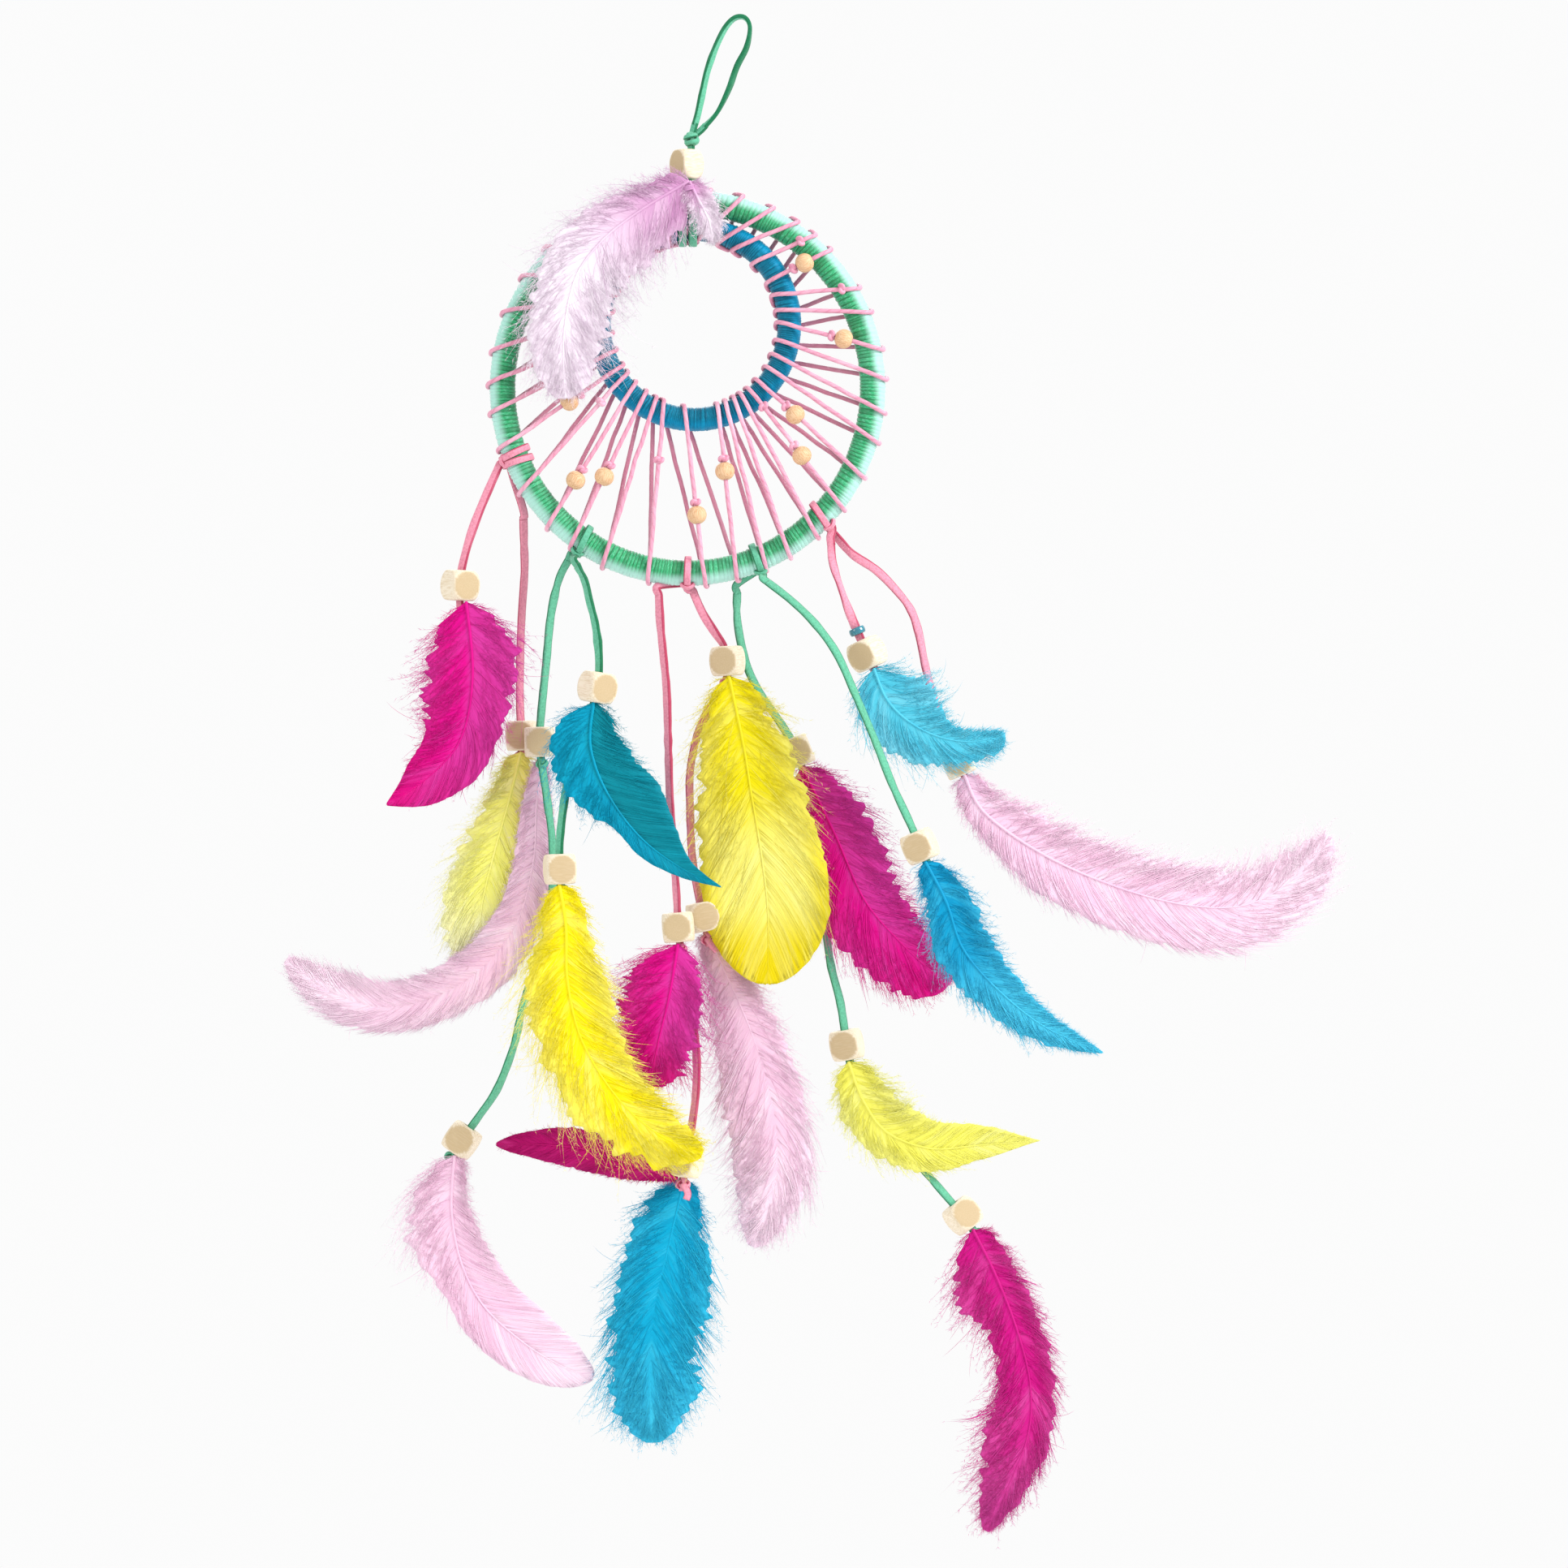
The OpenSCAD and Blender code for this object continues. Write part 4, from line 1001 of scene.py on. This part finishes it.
# feathers: look, spine as (x, z) in mm from the bead's middle, half widths on the left and on the right as
# the feather hangs, how downy each side is (0 closed vane, 1 loose down), in equal steps to the tip, and
# the share of the length at which the end starts to round off
feathers = {
    "a1": ("magenta", [(2, -5), (4, -28), (0, -48), (-12, -61), (-22.5, -67.5)],
           (5, 17, 20, 17, 11, 7, 2), (5, 17, 17, 13, 11, 8, 2), (1, 1, 1, 0.8, 0.2, 0, 0),
           (1, 1, 0.8, 0.5, 0.1, 0, 0), 0.8),
    "a2": ("paleYellow", [(0, -5), (-4, -21), (-9, -39), (-12.5, -56), (-12, -78)],
           (4, 8, 11, 14, 15, 13, 10), (4, 10, 13, 15, 16, 15, 12), (1, 1, 0.9, 0.8, 0.6, 0.5, 0.5),
           (1, 1, 0.8, 0.6, 0.4, 0.4, 0.5), 0.72),
    "b1_upper": ("pink", [(0.5, -5), (-1, -19), (-2, -37), (-7, -55.5), (-18, -70), (-33, -79), (-49, -82),
                          (-65.5, -77), (-79, -67)],
                 (2, 6, 7, 9, 9, 9, 9, 6), (2, 6, 7, 9, 9, 9, 9, 6),
                 (0.6, 0.4, 0.3, 0.3, 0.3, 0.4, 0.6, 0.8), (0.6, 0.4, 0.3, 0.3, 0.3, 0.4, 0.6, 0.8), 0.85),
    "b1_lower": ("pink", [(-2, -4.5), (-3, -21), (0, -37.5), (7, -51), (19.5, -62.5), (32, -70), (41, -73)],
                 (5, 16, 19, 10, 10, 10, 8, 5), (4, 6, 9, 11, 12, 12, 10, 7), (1, 1, 1, 0.3, 0, 0, 0, 0),
                 (1, 0.8, 0.3, 0, 0, 0, 0, 0), 0.84),
    "b2_upper": ("teal", [(-1, -4.5), (-2, -18), (3, -32), (13, -45.5), (25.5, -55), (38, -61)],
                 (8, 16, 15, 5, 4.5, 3, 1), (6, 11, 14, 15, 11, 4, 1), (1, 1, 1, 0.1, 0, 0, 0),
                 (0.8, 0.5, 0.2, 0, 0, 0, 0), 0.7),
    "b2_lower": ("yellow", [(0, -4.5), (2, -17.5), (2.5, -34), (7, -52.5), (18, -70), (30.5, -81),
                            (44, -87)],
                 (5, 13, 19, 19, 19, 15, 9), (5, 10, 15, 14, 12, 11, 8), (1, 1, 1, 1, 1, 1, 1),
                 (0.8, 0.8, 0.6, 0.6, 0.6, 0.8, 1), 0.82),
    "c1_upper": ("magenta", [(0, -5), (-2.5, -20), (-6, -35), (-9, -49)],
                 (6, 15, 20, 20, 18, 16, 13), (5, 11, 14, 15, 15, 14, 12), (1, 1, 1, 1, 1, 1, 1),
                 (1, 1, 1, 1, 1, 1, 1), 0.78),
    "c1_side": ("darkMagenta", [(-2, -5), (-15.5, -1), (-30.5, 4), (-45.5, 5.5), (-58, 5.5)],
                (1, 4, 6, 6.5, 6, 4, 2), (1, 4, 6, 7, 6, 4, 2), (0.5, 0.3, 0.2, 0.2, 0.1, 0.1, 0.1),
                (0.5, 0.3, 0.2, 0.2, 0.1, 0.1, 0.1), 0.85),
    "c1_lower": ("cyan", [(0, -5), (-5, -26), (-9, -44), (-10.5, -62), (-10, -87)],
                 (5, 14, 16, 16, 17, 18, 14), (5, 12, 18, 20, 19, 19, 15), (1, 0.9, 0.7, 0.7, 1, 1, 1),
                 (1, 0.8, 0.6, 0.7, 1, 1, 1), 0.78),
    "c2_upper": ("gold", [(0.5, -4.5), (5, -26), (7.5, -41.5), (10.5, -59.5), (12.5, -77.5), (12.5, -100)],
                 (6, 16, 20, 21, 20.5, 20, 17), (6, 15, 19, 20, 20, 19, 16), (1, 1, 0.8, 0.4, 0, 0, 0),
                 (1, 1, 0.7, 0.3, 0, 0, 0), 0.76),
    "c2_lower": ("pink", [(1, -4.5), (7, -17.5), (16, -39), (22, -61), (22.5, -81), (15, -102.5)],
                 (4, 10, 15, 19, 19, 15, 10), (4, 8, 11, 12, 13, 13, 9), (1, 0.9, 0.8, 0.7, 0.7, 0.9, 1),
                 (1, 0.9, 0.8, 0.7, 0.8, 0.9, 1), 0.8),
    "d1_upper": ("magenta", [(1.5, -4.5), (12, -26), (21, -46), (33, -60), (47, -73)],
                 (5, 11, 15, 18, 18, 16, 13), (5, 14, 16, 15, 13, 12, 10), (1, 0.8, 0.6, 0.6, 0.6, 0.8, 1),
                 (1, 0.9, 0.9, 0.8, 0.8, 1, 1), 0.86),
    "d1_middle": ("lemon", [(0.5, -5), (5, -17), (12.5, -27), (26, -32), (41, -31), (60, -29.5)],
                  (5, 11, 11, 9, 6, 4, 1), (6, 12, 13, 10, 8, 6, 1), (1, 1, 0.9, 0.4, 0.1, 0, 0),
                  (1, 1, 0.6, 0.2, 0.1, 0.1, 0), 0.6),
    "d1_lower": ("orchid", [(3, -4), (10, -18), (17, -36), (21, -54), (19, -72), (7, -98)],
                 (6, 20, 13, 13, 18, 14, 8), (5, 9, 10, 10, 9, 8, 6), (1, 1, 1, 0.9, 1, 1, 1),
                 (1, 0.9, 0.8, 0.8, 0.9, 1, 1), 0.8),
    "d2": ("sky", [(1.5, -4.5), (8, -17), (13, -31), (23, -43), (38, -55), (56, -63)],
           (4, 9, 11, 10, 8, 5, 2), (4, 10, 11, 9, 6, 4, 1), (1, 1, 0.9, 0.8, 0.8, 0.6, 0.4),
           (1, 0.9, 0.7, 0.5, 0.5, 0.4, 0.3), 0.75),
    "e1": ("turquoise", [(2, -4.5), (6, -14), (13, -21), (22, -25.5), (32, -27), (42.5, -25)],
           (7, 13, 15, 14, 10, 8, 6), (8, 15, 18, 13, 6, 4, 3), (1, 0.9, 0.9, 0.8, 0.8, 0.9, 1),
           (1, 0.9, 0.8, 0.7, 0.7, 0.8, 1), 0.9),
    "e2": ("pink", [(2, -4), (8.5, -16), (27, -29), (50, -39), (72, -44.5), (90, -44), (105, -35),
                    (115, -22.5)],
           (5, 8, 13, 14, 15, 16, 14, 8), (5, 11, 14, 14, 15, 15, 12, 8),
           (1, 0.6, 0.4, 0.3, 0.3, 0.6, 1, 1), (1, 0.8, 0.8, 0.7, 0.7, 0.9, 1, 1), 0.86),
    "top": ("lilac", [(1, -6), (-14, -15), (-26, -24.5), (-34, -36), (-37.5, -54), (-37, -73)],
            (7, 8, 12, 15, 16, 15, 14, 13), (11, 18, 20, 20, 19, 18, 16, 14), (1, 1, 1, 1, 1, 1, 1, 1),
            (1, 1, 1, 1, 1, 1, 1, 1), 0.8),
    "top_spray": ("lilac", [(1, -6), (4, -12), (7, -18), (8.5, -25)],
                  (4, 5, 5, 3), (4, 6, 5, 3), (1, 1, 1, 1), (1, 1, 1, 1), 0.8),
}
plume = {"perMm": 7.6, "stations": 6, "barb": 0.40, "loose": 0.18, "hair": 0.10, "hairLength": 2.8,
         "hairs": 8, "hairsTo": 0.93, "curl": 0.16, "quill": 0.5, "camber": 1.0, "lift": 0.9, "depth": 1.9,
         "strays": {"c1_upper": 60, "b2_lower": 16, "top": 30}}


def blades(line, across, rise, width):
    # three-sided tapering spikes: corners at line +- across * width / 2 and line + rise * width / 3,
    # and one tip each; line is (count, stations, 3)
    count, rows = line.shape[:2]
    half = (width / 2)[..., None]
    rings = np.stack([line - across * half, line + across * half, line + rise * half * 0.66], 2)[:, :-1]
    points = np.concatenate([rings.reshape(count, -1, 3), line[:, -1:]], 1)
    per = points.shape[1]
    k, j = np.meshgrid(np.arange(rows - 2), np.arange(3), indexing="ij")
    quads = np.stack([k * 3 + j, k * 3 + (j + 1) % 3, (k + 1) * 3 + (j + 1) % 3, (k + 1) * 3 + j], -1)
    quads, last, tip = quads.reshape(-1, 4), (rows - 2) * 3, per - 1
    tris = np.array([[last, last + 1, tip], [last + 1, last + 2, tip], [last + 2, last, tip], [2, 1, 0]])
    step = (np.arange(count) * per)[:, None, None]
    return points.reshape(-1, 3), (quads[None] + step).reshape(-1, 4), (tris[None] + step).reshape(-1, 3)


def bladeMarks(**values):
    # a value per station to a value per corner of its blade
    return {name: np.concatenate([np.repeat(value[:, :-1], 3, axis=1), value[:, -1:]], 1).ravel()
            for name, value in values.items()}


def readAt(at, run, values):
    # a flat line's (x, z), or its direction, at lengths along it
    return np.stack([np.interp(at, run, values[:, k]) for k in (0, 1)], -1)


def quarterTurn(ahead):
    return np.stack([-ahead[..., 1], ahead[..., 0]], -1)


def atDepth(flat, depth):
    return np.stack([flat[..., 0], depth, flat[..., 1]], -1)


def barbLean(share):
    # angle between barb and quill, which closes towards the tip
    return np.radians(58 - 40 * share ** 0.8)


def curls(line, y, hand, widths, down, many, random):
    # long stray barbs that bend round: heading = start + bend * u^1.5 along each
    run, u = lengthAlong(line), np.linspace(0, 1, 11)[None]
    flow = unit(np.gradient(line, axis=0))
    root = random.uniform(0.05, 0.8, many)
    root = root[(random.uniform(0, 1, many) < stations(down, root)) | (np.arange(many) < 2)]
    many = len(root)
    at = (root * run[-1])[:, None]
    spot, ahead = readAt(at, run, line), readAt(at, run, flow)
    side = hand * quarterTurn(ahead)
    length = stations(widths, root)[:, None] * random.uniform(1.05, 1.45, (many, 1))
    heading = random.uniform(0.5, 1.2, (many, 1)) + random.normal(0, 0.9, (many, 1)) * u ** 1.5
    step = length / (u.shape[1] - 1)
    x = np.cumsum(np.cos(heading), 1)[..., None] * step[..., None]
    d = np.cumsum(np.sin(heading), 1)[..., None] * step[..., None]
    flat = spot + x * ahead + d * side
    depth = y + random.normal(0, 0.6, (many, 1)) * u
    centre = atDepth(flat, depth.clip(y - plume["depth"], y + plume["depth"]))
    flowing = unit(np.gradient(centre, axis=1))
    across = unit(np.cross(flowing, up))
    width = plume["curl"] * (1.3 - u + 0 * x[..., 0])
    ones = np.ones((many, u.shape[1]))
    marks = bladeMarks(hand=ones * (1 + hand) / 2, out=0.5 * ones, tone=0.05 * ones, down=0.2 * ones,
                       along=root[:, None] * ones, comb=at * ones)
    return shape(*blades(centre, across, np.cross(across, flowing), width), **marks)


def outline(widths, blunt, share):
    # half width at a share of the length: the stations times root of (1 - past^2), past rising from
    # 0 where the end starts to 1 at the tip
    past = np.clip((share - blunt) / (1 - blunt), 0, 1)
    return stations(widths, share.clip(0, 1)) * np.sqrt(1 - past ** 2) * (share < 1)


def barbs(line, y, facing, hand, widths, down, blunt, random):
    # the barbs on one hand of the quill. Each leaves it at an angle that closes towards the tip, and runs in
    # lengths x along and d out from the curved quill: point = quill(s + x) + outward(s + x) * d
    run, rows = lengthAlong(line), plume["stations"]
    total, flow = run[-1], unit(np.gradient(line, axis=0))
    count = int(total * plume["perMm"])
    root = np.sort(random.uniform(0.0, 0.985, count))
    loose = stations(down, root).clip(0, 1)
    ragged = random.uniform(0, 1, count) < loose
    lean = barbLean(root) + ragged * random.normal(0.08, 0.22, count)
    clump = np.floor(root * total / 2.6).astype(int) + random.integers(0, 2, count) * 60
    lean += random.normal(0, 0.05, 160)[clump] * (0.4 + 1.8 * loose)
    lean = lean.clip(0.16, 1.45)
    near, far = np.zeros(count), (1 - root) * total
    for _ in range(18):  # how far along the barb meets the outline, by halving
        mid = (near + far) / 2
        short = outline(widths, blunt, root + mid / total) > mid * np.tan(lean)
        near, far = np.where(short, mid, near), np.where(short, far, mid)
    length = near / np.cos(lean) * (1 + random.normal(0, 0.015 + 0.12 * loose))
    length = np.maximum(length * np.where(ragged, random.uniform(0.62, 1.1, count), 1), 0.8)
    u = np.linspace(0, 1, rows)[None]
    angle = lean[:, None] * (1.12 - 0.3 * u) + random.normal(0, 0.03 + 0.36 * loose)[:, None] * (u - 0.3)
    step = (length / (rows - 1))[:, None]
    inward = np.zeros((count, 1))
    x = np.hstack([inward, np.cumsum((np.cos(angle)[:, 1:] + np.cos(angle)[:, :-1]) / 2, 1)]) * step
    d = np.hstack([inward, np.cumsum((np.sin(angle)[:, 1:] + np.sin(angle)[:, :-1]) / 2, 1)]) * step
    at = root[:, None] * total + x
    beyond = np.maximum(at - total, 0)
    spot = readAt(at, run, line) + beyond[..., None] * flow[-1]
    flat = spot + d[..., None] * hand * quarterTurn(unit(readAt(at, run, flow)))
    lift = random.normal(0, 0.04 + 0.42 * loose)[:, None] * u * plume["lift"]
    bow = facing * plume["camber"] * (d / max(widths)) ** 2
    low, high = y - plume["depth"], y + plume["depth"]
    depth = (y + bow + lift + random.uniform(-0.08, 0.08, count)[:, None]).clip(low, high)
    centre = atDepth(flat, depth)
    flowing = unit(np.gradient(centre, axis=1))
    across = unit(np.cross(flowing, up) + random.normal(0.0, 0.3, count)[:, None, None] * up)
    rise = np.cross(across, flowing)
    turned = np.where(rise[..., 1:2] > 0, -1.0, 1.0)
    rise, across = rise * turned, across * turned
    wide = np.where(ragged, plume["loose"], plume["barb"])[:, None] * (1 - 0.85 * u ** 2.2)
    ones = np.ones_like(u)
    right = (1 + hand) / 2
    marks = bladeMarks(hand=np.full((count, rows), right), out=(d / max(widths)).clip(0, 1),
                       tone=random.uniform(0, 1, count)[:, None] * ones,
                       down=loose[:, None] * (0.4 + 0.6 * u), along=(at / total).clip(0, 1),
                       comb=root[:, None] * total * ones)
    made = [shape(*blades(centre, across, rise, wide), **marks)]
    chosen = np.flatnonzero(ragged & (root < plume["hairsTo"]))
    if len(chosen):  # hairs of down stand off the loose barbs on both hands
        hairs = np.repeat(chosen, plume["hairs"])
        spot = random.uniform(0.12, 1.0, len(hairs)) ** 0.6
        k = np.minimum((spot * (rows - 1)).astype(int), rows - 2)
        part = (spot * (rows - 1) - k)[:, None]
        foot = centre[hairs, k] * (1 - part) + centre[hairs, k + 1] * part
        trend = flowing[hairs, k]
        turn = random.normal(0.62, 0.25, len(hairs))[:, None]
        sideways = np.cross(trend, up) * random.choice([-1.0, 1.0], len(hairs))[:, None]
        away = unit(trend * np.cos(turn) + sideways * np.sin(turn)
                    + up * random.normal(0, 0.2, len(hairs))[:, None])
        reach = plume["hairLength"] * random.uniform(0.5, 1.3, len(hairs)) * (1.15 - 0.65 * spot)
        hairLine = foot[:, None] + away[:, None] * reach[:, None, None] * np.array([0.0, 1.0])[None, :, None]
        hairLine[..., 1] = hairLine[..., 1].clip(low, high)
        flatways = unit(np.cross(away, up))[:, None] * np.ones((1, 2, 1))
        raised = unit(np.cross(flatways, away[:, None]))
        turned = np.where(raised[..., 1:2] > 0, -1.0, 1.0)
        raised, flatways = raised * turned, flatways * turned
        both = np.ones((len(hairs), 2))
        marks = bladeMarks(hand=both * right,
                           out=((d[hairs, k] / max(widths)).clip(0, 1) + 0.1)[:, None] * both,
                           tone=random.uniform(0.1, 1, len(hairs))[:, None] * both, down=both,
                           along=(at[hairs, k] / total)[:, None] * both,
                           comb=(root[hairs] * total)[:, None] * both)
        made.append(shape(*blades(hairLine, flatways, raised, both * plume["hair"]), **marks))
    return made


def underVane(line, y, facing, widths, downs, blunt, random):
    # the mass of barbs and down behind the single ones: a thin closed sheet inside the outline, its edge
    # uneven where it is downy. Half width = outline * (0.97 - 0.27 down) * (1 + unevenness)
    run, rows, columns = lengthAlong(line), 110, 7
    total, flow = run[-1], unit(np.gradient(line, axis=0))
    share = np.linspace(0.004, 0.996, rows)
    spot = readAt(share * total, run, line)
    side = quarterTurn(unit(readAt(share * total, run, flow)))
    v = np.linspace(0, 1, columns)
    halves = []
    for hand, width, down in zip((-1.0, 1.0), widths, downs):
        loose = stations(down, share).clip(0, 1)
        rough = np.convolve(random.normal(0, 1, rows + 2), [0.25, 0.5, 0.25], "valid")
        half = outline(width, blunt, share) * (0.97 - 0.27 * loose) * (1 + (0.02 + 0.12 * loose) * rough)
        half = np.minimum(half.clip(0.05), share * total * 1.5 + 0.05)
        d = half[:, None] * v[None]
        flat = spot[:, None] + hand * d[..., None] * side[:, None]
        comb = share[:, None] * total - d / np.tan(barbLean(share)[:, None])
        wave = 0.14 * loose[:, None] * v[None] * np.sin(comb * 1.3 + hand)
        depth = y + facing * plume["camber"] * (d / max(width)) ** 2 + wave
        halves.append({"at": atDepth(flat, depth), "out": d / max(width), "hand": (1 + hand) / 2 + 0 * d,
                       "down": loose[:, None] * (0.4 + 0.6 * v[None]), "tone": 0.5 + 0 * d,
                       "along": share[:, None] + 0 * d, "comb": comb})
    # from the left edge over the quill to the right edge
    across = {key: np.concatenate([halves[0][key][:, :0:-1], halves[1][key]], 1) for key in halves[0]}
    middle = across.pop("at")
    thick = 0.12 * (1 - 0.8 * np.abs(np.linspace(-1, 1, 2 * columns - 1)))[None, :, None] * -up
    ring = np.concatenate([middle - thick, (middle + thick)[:, ::-1]], 1)
    many = ring.shape[1]
    points = np.concatenate([ring.reshape(-1, 3), ring[[0, -1]].mean(1)])
    marks = {}
    for key, value in across.items():
        both = np.concatenate([value, value[:, ::-1]], 1)
        marks[key] = np.concatenate([both.ravel(), both[[0, -1]].mean(1)])
    return shape(points, gridFaces(rows, many), endFaces(rows, many), **marks)


def feather(spinePoints, widths, downs, blunt, y, seed, facing, strays):
    random = np.random.default_rng(seed)
    line = evenly(smooth(spinePoints, 16), 0.25)
    shapes = [underVane(line, y, facing, widths, downs, blunt, random)]
    for hand, width, down in zip((-1.0, 1.0), widths, downs):  # left, then right of the quill as it hangs
        shapes += barbs(line, y, facing, hand, width, down, blunt, random)
        if max(down) > 0.5:
            shapes.append(curls(line, y, hand, width, down, strays, random))
    # the quill: a round stem that thins to the tip
    stem = evenly(line, 0.8)
    path = np.stack([stem[:, 0], np.full(len(stem), y + facing * 0.15), stem[:, 1]], 1)
    made = sweep(path, roundOutline(1.0, 8), up,
                 size=plume["quill"] * (1 - 0.85 * np.linspace(0, 1, len(stem))))
    run = made["marks"]["run"]
    made["marks"] = {"tone": 0.9 + 0 * run, "along": run / run.max()}  # joined makes the rest 0
    return joined([*shapes, made])


def makeFeathers():
    for seed, (name, facts) in enumerate(feathers.items()):
        look, spine, left, right, leftDown, rightDown, blunt = facts
        if name.startswith("top"):
            body, node, bead = "top_feather", "top_feather", "loop_bead"
        else:
            bead = "bead_" + ("c1_lower" if name == "c1_side" else name)
            body, node = "tail_" + name.split("_")[0], "feather_" + name
        middle = middleOf(bead)
        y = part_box(node)[0][1] / mm + 0.6 if name.startswith("top") else middleOf(node)[1]
        points = [(middle[0] + dx, middle[2] + dz) for dx, dz in spine]
        facing = 1.0 if y > middle[1] else -1.0
        made = feather(points, (left, right), (leftDown, rightDown), blunt, y, 100 + seed, facing,
                       plume["strays"].get(name, 8))
        replaced = [] if name == "top_spray" else [node]
        makePiece("plume_" + name, made, looks[look], body, replaced)
        if name == "top":  # white thread holds the root
            turn = wholeTurn(40)[:, None]
            rings = [sweep(np.hstack([middle[0] + 1 + 1.3 * np.cos(turn), y + 0.9 * np.sin(turn),
                                      middle[2] + drop + 0.3 * np.cos(turn)]),
                           roundOutline(0.28, 8), (0, 0, 1), True) for drop in (-7.6, -8.1, -8.6)]
            makePiece("feather_tie", joined(rings), looks["lilac"], body)


makeFeathers()
print("feathers made")


# floor and end
def makeFloor():
    # a disc: radius * (cos, sin) of the turn
    turn = wholeTurn(96)
    mesh = bpy.data.meshes.new("floor")
    wide = studio["floorRadius"]
    mesh.from_pydata([(wide * math.cos(a), wide * math.sin(a), studio["floorDepth"]) for a in turn], [],
                     [list(range(len(turn)))])
    look = Look("floor")
    look.finish(Base_Color=look.mix(look.noise(look.place(), 8), dye(238, 238, 238), dye(246, 246, 246)),
                Roughness=0.8)
    mesh.materials.append(look.material)
    floor = bpy.data.objects.new("floor", mesh)
    bpy.context.scene.collection.objects.link(floor)


makeFloor()
